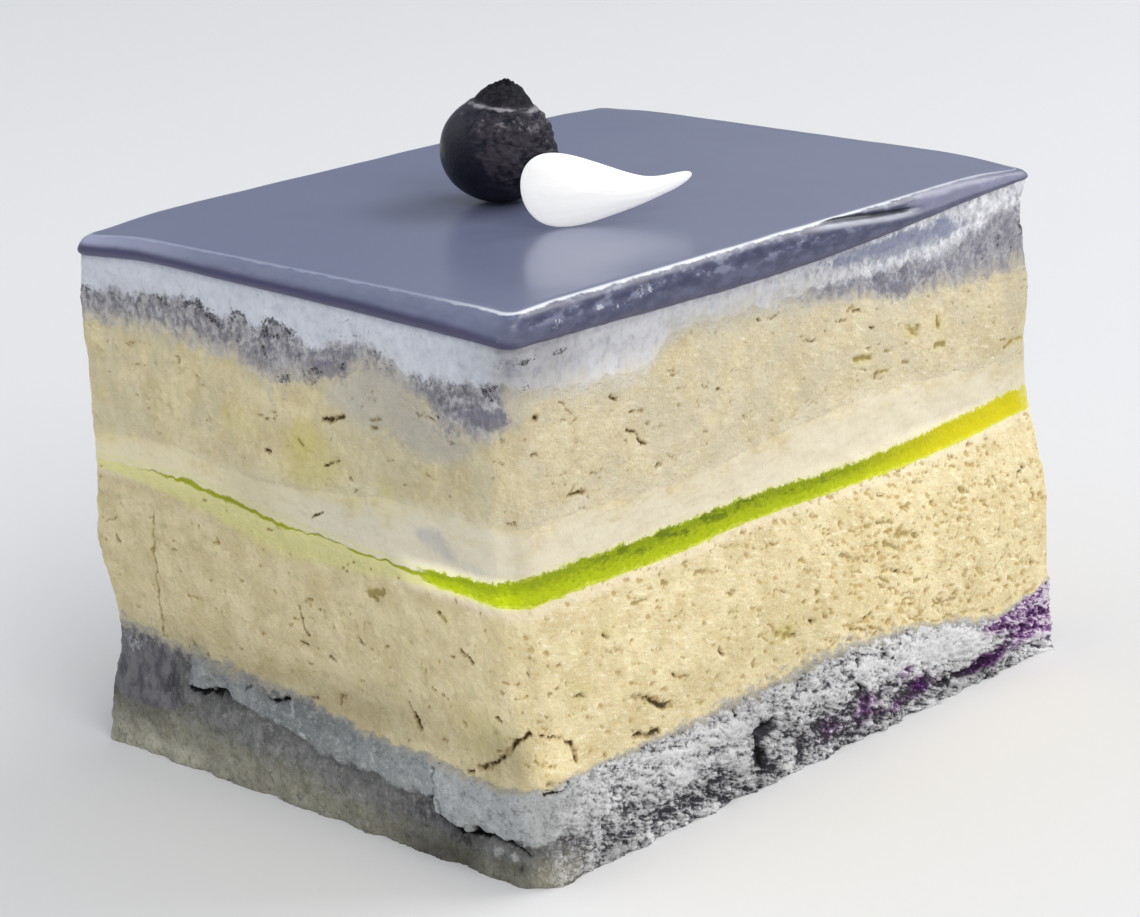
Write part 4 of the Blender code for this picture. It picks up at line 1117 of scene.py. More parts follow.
def curd_shade(mat, colours):
    """The gel: green in front, yellower behind, with dark blots in its upper half and yellow rims."""
    height = mat.field("rise") + mat.ragged("gel") * 0.6
    late = mat.coats((0.66, 0.58, 0.006), (height, 0.2, 0.9, 1, colours.curd_yellow))
    return mat.coats(
        (0.42, 0.50, 0.004),
        (height, 0.25, 0.8, 1, colours.curd_green),
        ("gel", 0.5, 0.72, 0.45, (0.17, 0.24, 0.002)),
        ("gel", 0.44, 0.3, 0.35, (0.56, 0.62, 0.02)),
        ("gel blots", 0.5, 0.6, 0.75, (0.10, 0.15, 0.002), mat.ease(height, 0.35, 0.7), mat.field("deep")),
        (mat.field("yellow") + mat.ragged("gel edge") * 0.3, 0, 1, 1, late),
        (height, 0.9, 1.05, 0.6, (0.70, 0.72, 0.10)),
        (height, 0.16, 0, 0.6, (0.70, 0.72, 0.10)),
        (mat.field("thin") * 0.7, (0.34, 0.35, 0.012)),
    )


def curd_fields(wall, rise):
    """Where the curd is green, deep or yellow round the slice, and how high in it a place is."""
    return {
        "deep": ease(wall.s, 74, 84) * (1 - ease(wall.s, 114, 124)),
        "yellow": ease(wall.s, 108, 152) * (1 - ease(wall.s, 190, 226)),
        "rise": rise,
    }


def make_curd():
    """The curd's wall: a grainy gel. On the -Y face it is smeared over, so only a thin crooked line
    of it shows; the line is a bell round a wandering middle, in shares of the height."""
    colours = settings()[0]
    wall = Wall("curd bottom", "curd top", 18)
    ring = wall.side * [1, 1, 0]
    middle = 0.5 + 0.35 * rough(ring, 2.2, 310, 3, 0.65)
    width = level_at(THREAD_THICK, wall.s) + 0.1 * lumps(ring, 1.3, 320)
    line = bell(wall.share, middle, width) * level_at(THREAD_STRONG, wall.s)
    fields = {**stains(*swayed(wall, 0.4, 0.8, 300)), **curd_fields(wall, wall.share)}
    fields["line"] = 1 - wall.thin * (1 - line)
    fields["pale"] = ease(wall.s, 149, 155) * (1 - ease(wall.s, 156, 166))
    mat = Finish("lemon_curd")
    ragged = mat.ragged("gel edge")
    filling = filling_shade(mat, colours)
    shown = mat.field("line") + ragged * 0.6 - mat.field("pale") * 0.5
    shade = mat.coats(
        sponge_shade(mat, colours),
        (0.8, colours.halo),
        (mat.field("share") + ragged * 0.8, 0.35, 0.9, 1, filling),
        (shown, 0.2, 0.85, 1, curd_shade(mat, colours)),
        (mat.seam("filling over curd", mat.field("over_high")), filling),
    )
    fine = mat.texture("gel bumps") * 0.16 + mat.texture("gel lumps") * 0.1
    material = mat.dull(stained(mat, shade, colours), 0.55, fine, 0.8, 0.15)
    relief = 0.07 * rough(wall.side, (1.1, 1.1, 0.5), 301) * wall.level
    wall.piece("curd_band", "lemon_curd", relief, fields, material)


def make_filling():
    """The pale cream's wall: soft, trowelled along the slice, fading into the sponge above and
    jagged against the curd below."""
    colours = settings()[0]
    wall = Wall("curd top", "filling top", 28)
    s, z = swayed(wall, 0.45, 0.9, 401)
    cracks = marks(s, z, CRACKS, 1.2)
    relief = 0.08 * rough(wall.side, (3.0, 3.0, 1.0), 410) + 0.06 * rough(wall.side, 0.6, 420, 2)
    fields = {**stains(s, z), **curd_fields(wall, 1), "crack": cracks, "pit": 0, "brown": 0}
    mat = Finish("cream_filling")
    over_low = mat.field("over_low")
    shade = mat.coats(
        filling_shade(mat, colours),
        (mat.seam("sponge over filling", mat.field("over_high")), sponge_shade(mat, colours)),
        (over_low + mat.ragged("filling edge") * 0.8, 0.6, 0, 0.5, (0.76, 0.76, 0.30)),
        ("filling flecks", 0.7, 0.78, 0.3, (0.42, 0.40, 0.30)),
    )
    shade = pitted(mat, stained(mat, shade, colours), colours, UPPER_PITS)
    curd = (1.0 - mat.seam("filling over curd", over_low)) * (1.0 - mat.field("thin"))
    shade = mat.mix(curd, shade, curd_shade(mat, colours))
    fine = mat.texture("trowelled") * 0.14 + mat.texture("filling bumps") * 0.08
    material = mat.dull(shade, 0.7, fine, 0.9, 0.25)
    wall.piece("cream_band", "cream_filling", (relief - 0.4 * cracks) * wall.level, fields, material)


# ---- Fruit, base and top cream -----------------------------------------------------------------


def fruit_shade(mat):
    """Pulp: clouds of grey and violet under upright streaks, dark threads, and pale and dark specks."""
    return mat.coats(
        (0.60, 0.585, 0.58),
        ("pulp", 0.34, 0.6, 1, (0.28, 0.27, 0.30)),
        ("pulp clouds", 0.5, 0.68, 0.5, (0.16, 0.155, 0.19)),
        ("pulp clouds", 0.46, 0.3, 0.5, (0.60, 0.60, 0.63)),
        ("pulp", 0.58, 0.68, 0.6, (0.13, 0.125, 0.14)),
        ("specks", 0.58, 0.7, 0.5, (0.13, 0.125, 0.14)),
        ("specks", 0.42, 0.3, 0.4, (0.72, 0.70, 0.68)),
        ((1.0 - mat.field("left")) * 0.3, (0.42, 0.44, 0.56)),
    )


def clotted(mat, shade):
    """The shade with the dark clots, black and grey in fine frizz."""
    frizz = mat.coats((0.028, 0.026, 0.032), ("clot frizz", 0.4, 0.64, 1, (0.30, 0.285, 0.29)))
    return mat.coats(shade, (mat.field("clot") + mat.ragged("specks") * 2.6, 0.4, 0.72, 0.92, frizz))


def make_fruit_layer():
    """The fruit layer's wall: upright fingers, from noise stretched upwards, and grains by the top
    edge, wherever its cover says that there is fruit."""
    colours, sizes = settings()
    wall = Wall("fruit bottom", "fruit top", 28)
    points = wall.side
    cover = ease(level_at(FRUIT_COVER, wall.s) + 0.35 * rough(points, 1.8, 500, 3, 0.6), 0.2, 0.8)
    fingers = rough(points, (0.9, 0.9, 2.6), 510, 3, 0.6)
    near, second, tag = grains(points + 0.3 * fingers[..., None], (1.0, 1.0, 0.9), 520)
    beads = ease(second - near, 0.0, 0.4) * ease(wall.share, 0.2, 0.8) * (0.4 + 0.6 * tag)
    fields = stains(*swayed(wall, 0.5, 0.8, 505))
    fields["cover"] = cover
    clots = np.clip(fields["clot"], 0, 1)
    relief = sizes.fingers / MM * cover * (fingers + 0.8 * (beads - 0.3) - 0.7 * clots)
    relief = relief + 0.06 * rough(points, 0.9, 530)
    mat = Finish("blueberry_layer")
    covered = mat.field("cover")
    pulp = mat.coats(fruit_shade(mat), (mat.field("share"), 0.6, 0, 0.3, (0.62, 0.57, 0.47)))
    shade = mat.coats(
        (0.74, 0.66, 0.47),
        (mat.seam("bare cream", mat.field("past_fruit")), (0.76, 0.765, 0.79)),
        (mat.seam("fruit over sponge", mat.field("over_low")) * covered, pulp),
        (mat.seam("cream over fruit", mat.field("over_high")) * covered, colours.cream),
    )
    shade = clotted(mat, stained(mat, shade, colours))
    fine = mat.texture("pulp") * 0.34 + mat.texture("specks") * 0.3
    material = mat.dull(shade, 0.85, fine, 1, 0.25)
    wall.piece("fruit_band", "blueberry_layer", relief * wall.level, fields, material)


def make_top_cream():
    """The cream's wall: smooth in front, rough and streaked with juice at the far end of +X, with painted
    shadow under the glaze's edge and painted shade in its hollows.
    """
    colours = settings()[0]
    wall = Wall("fruit top", "glaze bottom", 26)
    points = wall.side
    coarse = level_at(CREAM_COARSE, wall.s)
    crumbs = rough(points, (0.9, 0.9, 0.8), 610, 3, 0.6)
    s, z = swayed(wall, 0.5, 0.8, 605)
    relief = 0.08 * rough(points, (4.0, 4.0, 1.6), 600, 2) + (0.05 + 0.24 * coarse) * crumbs
    # Painted shade in the hollows of the rough cream.
    fields = {**stains(s, z), "coarse": coarse, "hollow": np.clip(-crumbs * 1.6, 0, 1) * coarse}
    fields["dusk"] = spots(s, z, GLAZE_SHADOW_SPOTS)
    mat = Finish("top_cream")
    specks, streaks = mat.ragged("cream specks"), mat.ragged("juice streaks")
    rugged, cover = mat.field("coarse"), mat.field("cover")
    body = mat.mix(mat.field("left"), (0.76, 0.765, 0.805), colours.cream)
    # Painted shadow: darker just under the glaze's edge.
    under = mat.field("over_high") - mat.ragged("cream clouds") * 1.4
    sponge = (1.0 - mat.seam("bare cream", mat.field("past_fruit"))) * (1.0 - cover)
    fruit = (1.0 - mat.seam("cream over fruit", mat.field("over_low"))) * cover
    freckled = mat.ease(mat.texture("freckle clouds"), 0.45, 0.65)
    shade = mat.coats(
        body,
        ("cream clouds", 0.35, 0.7, 0.6, (0.58, 0.60, 0.66)),
        ("cream clouds", 0.45, 0.25, 0.5, (0.80, 0.82, 0.86)),
        (under, -0.6, 0, 0.35, (0.40, 0.40, 0.50)),
        ("cream specks", 0.67, 0.75, 0.5, (0.24, 0.25, 0.26), freckled),
        ("juice streaks", 0.53, 0.63, 0.6, (0.27, 0.265, 0.34), rugged),
        ("juice streaks", 0.5, 0.38, 0.9, (0.95, 0.96, 1.0), rugged),
        # Painted shade in the hollows.
        (mat.field("hollow"), 0.4, 1, 0.4, (0.30, 0.30, 0.36)),
        (mat.field("violet") + streaks * 1.6, 0.3, 0.9, 0.8, (0.24, 0.27, 0.42)),
        (mat.field("grey") + specks * 1.4, 0.2, 1.1, 0.5, (0.44, 0.45, 0.43)),
        # Painted shadow of the glaze at the named spots.
        (mat.field("dusk") + streaks * 1.6, 0.05, 0.9, 0.75, (0.29, 0.31, 0.43)),
        (sponge, (0.74, 0.67, 0.50)),
        (fruit, fruit_shade(mat)),
    )
    fine = mat.texture("cream clouds") * 0.12 + mat.texture("cream specks") * 0.06
    fine = fine + mat.texture("juice streaks") * rugged * 0.45
    material = mat.dull(clotted(mat, shade), 0.6, fine, 0.9, 0.3)
    wall.piece("cream_top", "top_cream", relief * wall.level, fields, material)


def make_base():
    """The base's wall: a pale ledge that stands proud over a gap, frosty crumbs on the +X face,
    upright fibres at the -X end, and named gaps, painted black like the gap under the ledge as
    painted shade."""
    colours, sizes = settings()
    wall = Wall(None, "base top", 64)
    points = wall.side
    s, z = swayed(wall, 0.8, 1.3, 701)
    line = level_at(LEDGE_LINE, s)
    proud = level_at(LEDGE_PROUD, s)
    above = ease(z - line, -0.5, 0.7)
    crevice = bell(z, line - 0.3, 0.3) * level_at(LEDGE_GAP, s)
    crevice = crevice * ease(rough(points, 1.6, 705, 3, 0.65), -0.5, 0.1)
    gaps = marks(s, z, BASE_GAPS, 1.1)
    frosty = level_at(BASE_FROST, wall.s)
    darks = spots(s, z, BASE_DARKS)
    lights = spots(s, z, BASE_LIGHTS)
    boulders = rough(points, 1.4, 710, 4, 0.62)
    upright = rough(points, (0.5, 0.5, 2.6), 720, 3, 0.6)
    fallen = rough(wall.slanted, (2.4, 1.0, 0.6), 725, 3, 0.65)
    fibres = upright + (fallen - upright) * frosty
    near, second, tag = grains(points + 0.25 * boulders[..., None], (0.7, 0.7, 0.6), 730)
    crumbs = ease(second - near, 0.0, 0.35) * (0.3 + tag)
    rugged = frosty * (0.35 + 0.65 * (1 - ease(z, 4.5, 8)))
    high = sizes.boulders / MM
    relief = above * proud - 0.4 * crevice - 0.7 * gaps - 0.3 * darks * (0.3 + 0.7 * frosty) + 0.2 * lights
    relief = relief + high * (0.3 + 0.4 * rugged) * boulders + high * (0.25 + 0.3 * frosty) * fibres
    relief = relief + high * (0.1 + 0.5 * rugged) * (crumbs - 0.5)
    relief = relief + ease(wall.under_high, 0, 3) * (0.35 * crag(wall.s, wall.z, 0) - wall.push)
    lift = level_at(LIFT, wall.s) + 0.36 * ease(z, 2.8, 6.4) + 0.12 * (1 - ease(z, 1.0, 2.4))
    fields = {
        "above": above * ease(proud, 0, 0.3),
        # Painted shade: black in the gaps and in the crevice under the ledge.
        "gap": np.clip(gaps + 0.8 * crevice, 0, 1),
        "shadow": np.clip(np.exp((z - line) / 2.0), 0, 1) * (1 - above) * ease(proud, 0, 0.3),
        "frost": frosty,
        "dark": darks,
        "lit": lights,
        # Relief and height that turn the frost white: its pale peaks and black hollows are partly the crumbs'
        # own colour and partly painted light and shade.
        "peak": 0.24 + 0.3 * boulders + 0.5 * fibres + 0.35 * (crumbs - 0.5) + lift,
        "slate": (1 - ease(wall.s, 9, 15) + ease(wall.s, 292, 304)) * ease(wall.z, 4.6, 7.0),
        "warmth": level_at(WARM_FOOT, wall.s),
        "purple": spots(s, z, PURPLE_STAINS),
    }
    relief = relief * ease(wall.under_high, 0, 0.4)
    wall.piece("fruit_base", "blueberry_base", relief, fields, base_material(colours))


def base_material(colours):
    """The base: grey pulp with a painted shadow under the ledge, warm grey by the plate, chalk on the
    ledge, white frost over black on the +X face, whiter on the relief's peaks and blacker in its
    hollows as partly painted light and shade, upright slate fibres, purple juice, and black painted
    shade in the gaps."""
    mat = Finish("blueberry_base")
    specks, clouds, blots, fallen = map(mat.ragged, ("specks", "base clouds", "blots", "fallen fibres"))
    grain = specks * 0.9 + mat.ragged("fibres") * 0.8
    warm = mat.field("over_low") + clouds * 5.0 - mat.field("warmth")
    earth = mat.coats((0.28, 0.26, 0.18), ("base clouds", 0.3, 0.7, 1, (0.42, 0.40, 0.29)))
    slate = mat.coats(
        (0.28, 0.275, 0.285),
        ("long fibres", 0.4, 0.64, 1, (0.14, 0.137, 0.155)),
        ("specks", 0.46, 0.3, 0.4, (0.34, 0.335, 0.34)),
    )
    # Frost whiter on the relief's peaks and blacker in its hollows: partly painted light and shade.
    peak = mat.field("peak") + specks * 1.5 + fallen * 3.4 + clouds * 1.1
    peak = peak + mat.field("lit") * 0.35 - mat.field("dark") * 0.5
    snow = mat.coats(
        colours.fruit_dark,
        (peak, 0.04, 0.26, 1, (0.23, 0.225, 0.245)),
        (peak, 0.24, 0.54, 1, (0.58, 0.58, 0.60)),
        (peak, 0.56, 0.94, 1, (0.89, 0.89, 0.91)),
    )
    juice = mat.coats(
        (0.035, 0.004, 0.05),
        (peak, 0.1, 0.4, 1, colours.fruit_purple),
        (peak, 0.4, 0.7, 1, (0.42, 0.24, 0.48)),
        (peak, 0.7, 1, 1, (0.84, 0.78, 0.86)),
    )
    shade = mat.coats(
        (0.15, 0.15, 0.145),
        ("base clouds", 0.34, 0.62, 1, (0.29, 0.29, 0.275)),
        ("long fibres", 0.52, 0.66, 0.4, (0.11, 0.11, 0.11)),
        (warm, 1.6, -1.6, 0.75, earth),
        # Painted shadow under the ledge.
        (mat.field("shadow") + grain * 0.8, 0.3, 0.95, 0.7, (0.10, 0.10, 0.097)),
        ("blots", 0.53, 0.68, 0.6, (0.09, 0.09, 0.085)),
        ("blots", 0.47, 0.32, 0.5, (0.46, 0.455, 0.42)),
        ("specks", 0.5, 0.68, 0.35, (0.42, 0.42, 0.41)),
        ("specks", 0.44, 0.32, 0.35, (0.08, 0.08, 0.078)),
        (mat.field("slate") + grain * 0.5, 0.25, 0.9, 1, slate),
        (mat.field("above") + grain * 1.2 + blots * 1.2, 0.2, 0.9, 1, chalk_shade(mat)),
        (mat.field("frost") + clouds * 0.5, 0.3, 0.8, 1, snow),
        (mat.field("lit") + grain * 1.6 + blots * 1.6, 0.4, 1, 0.6, (0.74, 0.75, 0.76)),
    )
    shade = mat.coats(
        base_and_sponge(mat, mat.field("over_high"), shade, sponge_shade(mat, colours)),
        (mat.field("dark") - mat.field("above") * 0.3 + grain * 1.6, 0.35, 1, 0.85, colours.fruit_dark),
        (mat.field("purple") + grain * 1.2 + fallen * 1.6, 0.25, 0.8, 0.9, juice),
        # Painted shade: black in the gaps.
        (mat.field("gap") + grain * 0.9, 0.3, 0.8, 1, (0.012, 0.012, 0.013)),
    )
    relief = mat.texture("specks") * 0.4 + mat.texture("fibres") * 0.3
    relief = relief + mat.texture("fallen fibres") * mat.field("frost") * 0.5 + mat.texture("blots") * 0.25
    return mat.dull(shade, 0.85, relief, 1, 0.25)


# ---- Glaze -------------------------------------------------------------------------------------

# The glaze's edge from its foot to its top: (share of its height, outward distance).
GLAZE_EDGE = [
    (0, -0.6), (0.05, -0.1), (0.14, 0.28), (0.26, 0.42), (0.4, 0.36), (0.58, 0.14), (0.76, -0.2),
    (0.88, -0.6), (0.95, -0.98), (0.985, -1.3), (1, -1.7),
]
CORNER_DROOP = [(-34.0, -43.0, 0.75), (34.0, 43.0, 0.75), (34.0, -43.0, 0.12), (-34.0, 43.0, 0.5)]
DROOP_REACH = 7.0
# The glaze's side is parted by a crease that runs down it: (distance round, share of the height).
CREASE = [(112, 1.02), (118, 0.95), (124, 0.8), (131, 0.6), (135, 0.52)]
CREASE_DEPTH = 0.5
# How far up the glaze's side its navy foot of painted shade reaches, and how much painted sheen
# lightens the side as a reflection would: (distance round, share).
GLAZE_SHADED_FOOT = [
    (0, 0.6), (10, 0.58), (30, 0.54), (50, 0.5), (60, 0.44), (66, 0.36), (70, 0.2), (154, 0.2), (166, 0.4),
    (250, 0.5), (GIRTH, 0.6),
]
GLAZE_PAINTED_SHEEN = [
    (0, 1), (4, 0.75), (9, 0.5), (14, 0.42), (20, 0.16), (27, 0.05), (150, 0), (250, 0.2), (GIRTH, 1),
]
# Middle of the painted shadow beside the berry on the glaze's top, in millimetres.
BERRY_SHADE = (-6.0, -14.0, 60.4)
# The insets of the rings under the glaze, and the rings of its top as shares of its outline.
FOOT_RINGS = (3.0, 0.6)
TOP_RINGS = (0.985, 0.965, 0.93, 0.88, 0.82, 0.74, 0.64, 0.52, 0.38, 0.22, 0.08)


def droop(x, y):
    """How far the glaze's top falls towards each corner: a bell round it."""
    return sum(d * np.exp(-((x - cx) ** 2 + (y - cy) ** 2) / DROOP_REACH**2) for cx, cy, d in CORNER_DROOP)


def make_glaze():
    """The glaze: its edge profile carried round the slice, with a crease in it towards the far end
    of the +X face, and a top of rings that shrink to a point at its middle."""
    colours = settings()[0]
    around = columns()
    share = (np.linspace(0, 1, 39) ** 0.8)[:, None] + 0 * around
    s = around + 0 * share
    low = seam_line("glaze bottom", around)
    centre_line, out = outline(around, TOP, GLAZE_RADIUS)
    high = top_height(centre_line[:, 1]) - droop(centre_line[:, 0], centre_line[:, 1])
    z = low + (high - low) * share
    side, out = outline(s, z, GLAZE_RADIUS)
    wave = 0.14 * rough(np.stack([s, 0 * s, z * 2], -1), 5.0, 800, 2)
    below = share - level_at(CREASE, s) - 0.04 * lumps(np.stack([s, 0 * s, 0 * s], -1), 6.0, 805)
    creased = ease(s, 113, 119) * (1 - ease(s, 130, 135))
    crease = creased * bell(below, 0, 0.07) * ease(share, 1.0, 0.9)
    scuffs = spots(s, z, GLAZE_SCUFFS)
    front = ease(s, 64, 72) * (1 - ease(s, 150, 160))
    push = line_through(GLAZE_EDGE, share) + wave * ease(share, 0, 0.3) - CREASE_DEPTH * crease
    push = push + 0.1 * np.clip(scuffs, 0, 1) * rough(side, 0.5, 810, 2)
    push = push + 0.08 * front * rough(side, 1.4, 815, 3) * (1 - ease(share, 0.7, 0.95))
    walls = side + out * push[..., None]
    foot = [walls[0] - out[0] * inset for inset in FOOT_RINGS]
    tops = []
    for shrink in TOP_RINGS:
        ring = walls[-1] * shrink
        ring[:, 2] = top_height(ring[:, 1]) - droop(ring[:, 0], ring[:, 1])
        tops.append(ring)
    fields = {
        "scuff": scuffs,
        "height": share,
        # Painted shade: near black in the crease.
        "crease": crease,
        # Painted shade: the navy foot stands for the shadow under the glaze's rounded edge.
        "foot": level_at(GLAZE_SHADED_FOOT, s) - share,
        # Painted sheen: the lighter -Y side stands for a reflection.
        "sheen": level_at(GLAZE_PAINTED_SHEEN, s),
        # Painted highlight: where the pale line along the top edge is strongest.
        "bright": ease(s, 54, 69) * (1 - ease(s, 150, 160)),
        # Painted highlight: the pale line under the crease.
        "light_line": creased * bell(below, -0.14, 0.07),
        # Painted reflection: the lighter lip above the crease.
        "lip": ease(s, 130, 135) * (1 - ease(s, 150, 158)),
        "front": front,
        "left": 1 - ease(s, 62, 70) + ease(s, 225, 245),
    }
    for key, values in fields.items():
        fields[key] = np.concatenate([values[:1]] * len(foot) + [values] + [values[-1:]] * len(tops))
    piece = closed_surface("glaze_mirror", np.concatenate([foot, walls, tops]), fields)
    finish_piece(piece, glaze_material(colours), "mirror_glaze")


def glaze_material(colours):
    """The glaze: slate blue on top, with a painted reflection that lightens it towards the back right and
    a painted shadow beside the berry. Its side is a lighter copy with painted sheen on the -Y face and a
    darker, mottled copy on the +X face, as painted light and shade, over a navy foot of painted shade,
    with painted highlights along its top edge and under its crease, a lip of painted reflection, and
    painted shade in its crease."""
    mat = Finish("mirror_glaze")
    height, left, front = map(mat.field, ("height", "left", "front"))
    side = mat.ease(height, 1.0, 0.93)
    # Painted reflection: the top lightens towards the back right as if it mirrored a bright sky.
    slope = mat.dot(mat.mm, (0.8, 0.6, 0)) + mat.ragged("broad tone") * 20.0
    # Painted shadow: darker near the berry.
    berry = mat.node("ShaderNodeVectorMath", {"operation": "DISTANCE"}, {0: mat.mm, 1: BERRY_SHADE}, 1)
    painted_sheen_side = mat.coats(
        (0.142, 0.158, 0.258),
        ("mottle", 0.35, 0.65, 1, (0.165, 0.185, 0.285)),
        (mat.field("sheen"), (0.37, 0.38, 0.54)),
    )
    shaded_side = mat.coats((0.052, 0.055, 0.105), ("mottle", 0.35, 0.65, 1, (0.098, 0.104, 0.175)))
    # Painted highlight: the pale line along the glaze's top edge.
    rim = mat.ease(height + mat.ragged("rim edge") * 0.12, 0.925, 0.965) * mat.ease(height, 0.995, 0.975)
    scuffed = mat.ease(mat.field("scuff") + mat.ragged("scuff specks") * 1.8, 0.45, 0.8)
    shade = mat.coats(
        colours.glaze,
        # Painted reflection, then the painted shadow by the berry.
        (slope, -40, 46, 1, (0.225, 0.245, 0.345)),
        (berry, 11, 2, 0.35, (0.07, 0.075, 0.14)),
        # Painted light and shade: a lighter copy of the glaze on the -Y side, a darker one on the +X side.
        (side * left, painted_sheen_side),
        (side * front, shaded_side),
        # Painted reflection: lighter mottle in the upper half of the +X side.
        ("mottle", 0.52, 0.62, 0.45, (0.28, 0.305, 0.40), mat.ease(height, 0.45, 0.6), side, front),
        # Painted shade: the navy foot.
        (mat.field("foot") + mat.ragged("foot edge") * 0.1, -0.12, 0.14, 0.95, (0.056, 0.05, 0.118)),
        # Painted highlights along the top edge, paler on the +X face.
        (rim * left * 0.45, (0.45, 0.50, 0.62)),
        (rim * mat.field("bright") * 0.8, (0.86, 0.89, 0.94)),
        # Painted reflection on the lip, then a painted highlight under the crease.
        (height, 0.3, 0.42, 0.7, (0.27, 0.27, 0.38), side, mat.field("lip")),
        (mat.field("light_line") * 0.7, (0.60, 0.62, 0.70)),
        (scuffed * 0.75, (0.52, 0.55, 0.62)),
        # Painted shade: near black in the crease.
        (mat.field("crease") * 0.9, (0.012, 0.012, 0.02)),
    )
    roughness = mat.ease(height, 0.86, 0.99, 0.34, 0.24) + scuffed * 0.3
    relief = mat.texture("glaze swell") * 0.2 + scuffed * 0.1
    return mat.finish(shade, roughness, relief, 0.5, Specular_IOR_Level=0.4)


# ---- Berry and petal ---------------------------------------------------------------------------

# The berry's place, how squat it is, its tilt in degrees, the height cut off where it rests, and its
# points round and up; its crown's angle in degrees and height; the middle of its wrinkled side.
BERRY_PLACE = (-3.4, -7.0)
BERRY_SQUAT = 0.9
BERRY_LEAN = 9
BERRY_FLAT = 0.25
BERRY_GRID = (260, 170)
CROWN_ANGLE = 30
CROWN_HEIGHT = 2.0
CROWN_LOBES = 5
WRINKLED_SIDE = (0.86, 0.05, 0.5)


def ball(grid, first, last):
    """Points of a ball in polar angles from the first to the last: the angles down from its pole,
    those round it, and each point's direction, from their sines and cosines."""
    around, bands = grid
    turn = np.linspace(0, 2 * np.pi, around, endpoint=False)[None, :]
    polar = np.linspace(first, last, bands + 2)[1:-1, None]
    flat = np.sin(polar)
    return polar, turn, np.stack([flat * np.cos(turn), flat * np.sin(turn), np.cos(polar) + 0 * turn], -1)


def make_berry():
    """The berry: a squat ball in polar angles from its crown, plus a low ragged tuft, a cone to a
    power, plus wrinkles on its bloomy side, tilted, and flattened where it rests."""
    colours, sizes = settings()
    polar, turn, unit = ball(BERRY_GRID, np.pi, 0)
    degrees = np.degrees(polar)
    ragged = rough(unit, 0.16, 900, 3, 0.6)
    tuft = np.clip(1 - degrees / CROWN_ANGLE, 0, 1) ** 0.62
    lobes = 0.84 + 0.1 * np.cos(CROWN_LOBES * turn + 1.6 * ragged) + 0.34 * rough(unit, 0.14, 903, 3, 0.65)
    crown = CROWN_HEIGHT * tuft * lobes
    side = np.array(WRINKLED_SIDE) / np.linalg.norm(WRINKLED_SIDE)
    bloomy = ease(unit @ side + 0.22 * rough(unit, 0.35, 905, 3), 0.12, 0.5)
    ring = bell(degrees, CROWN_ANGLE + 3.5, 4)
    folds = rough(unit, 0.26, 910, 4, 0.62)
    creases = 1 - np.abs(rough(unit, 0.3, 920, 3, 0.6)) * 3.2
    body = ease(degrees, 30, 44)
    wrinkles = 0.5 * folds - 0.3 * np.clip(creases, 0, 1) + 0.12 * rough(unit, 0.1, 935, 2)
    swell = 0.10 * rough(unit, 0.7, 930, 2) + body * bloomy * wrinkles + 0.16 * ring
    radius = sizes.berry_radius / MM
    points = unit * (radius + swell * body + 0.12 * ring)[..., None]
    points[..., 2] = points[..., 2] * BERRY_SQUAT + crown
    points = points @ np.array(Matrix.Rotation(math.radians(BERRY_LEAN), 3, (-1, 1, 0))).T
    floor = points[..., 2].min() + BERRY_FLAT
    points[..., 2] = np.maximum(points[..., 2], floor)
    points[..., 2] += top_height(BERRY_PLACE[1] - radius) + GAP / 3 - floor
    points[..., 0] += BERRY_PLACE[0]
    points[..., 1] += BERRY_PLACE[1]
    fields = {
        "bloom": bloomy * body * np.clip(0.55 + 0.8 * folds, 0, 1),
        "crown": 1 - ease(degrees + 0 * turn, CROWN_ANGLE - 3, CROWN_ANGLE + 1),
        "ring": ring * np.clip(0.75 + 1.6 * rough(unit, 0.3, 940, 3, 0.6), 0, 1),
        "patch": bell(degrees, 48, 14) * ease(unit @ side, -0.1, 0.3) * np.clip(2 * folds, 0, 1),
    }
    piece = closed_surface("berry_whole", points, fields)
    mat = Finish("blueberry")
    dust, crown = mat.ragged("dust"), mat.field("crown")
    bloom = mat.ease(mat.field("bloom") + dust * 1.6, 0.2, 0.9)
    tuft = mat.coats((0.005, 0.005, 0.008), ("dust", 0.45, 0.65, 1, (0.026, 0.023, 0.030)))
    shade = mat.coats(
        colours.berry,
        ("skin clouds", 0.35, 0.7, 1, (0.015, 0.015, 0.026)),
        (bloom * 0.85, colours.bloom),
        (mat.field("ring") + dust * 0.9, 0.3, 0.9, 0.8, (0.34, 0.32, 0.35)),
        (mat.field("patch") + dust * 1.4, 0.15, 0.7, 0.8, (0.22, 0.205, 0.235)),
        (crown * 0.9, tuft),
    )
    relief = mat.texture("dust") * 0.22 + mat.texture("skin bumps") * 0.05
    roughness = mat.ease(bloom + crown, 0, 1, 0.34, 0.8)
    finish_piece(piece, mat.finish(shade, roughness, relief, 0.6, Specular_IOR_Level=0.22), "blueberry")


# The petal's ends, its points round and across, its shape in millimetres, its lean in degrees, the
# height of its axis over the glaze at each share of its length, and how round its rim is.
PETAL_WIDE_END = (9.0, -16.3)
PETAL_TIP = (18.6, 0.5)
PETAL_GRID = (150, 61)
PETAL_HALF_WIDTH = 6.15
PETAL_TAPER = 1.65
PETAL_STALK = 0.7
PETAL_CUP = 1.7
PETAL_LEAN = 12
PETAL_AXIS = [(0, 4.4), (0.2, 4.05), (0.45, 3.5), (0.75, 3.2), (0.9, 3.75), (1, 4.3)]
PETAL_EDGE = 0.35
# How far out on the disc the petal's points and its slopes are taken, and the step for the slopes.
PETAL_REACH = 0.999
PETAL_SLOPES_REACH = 0.99
PETAL_STEP = 0.001


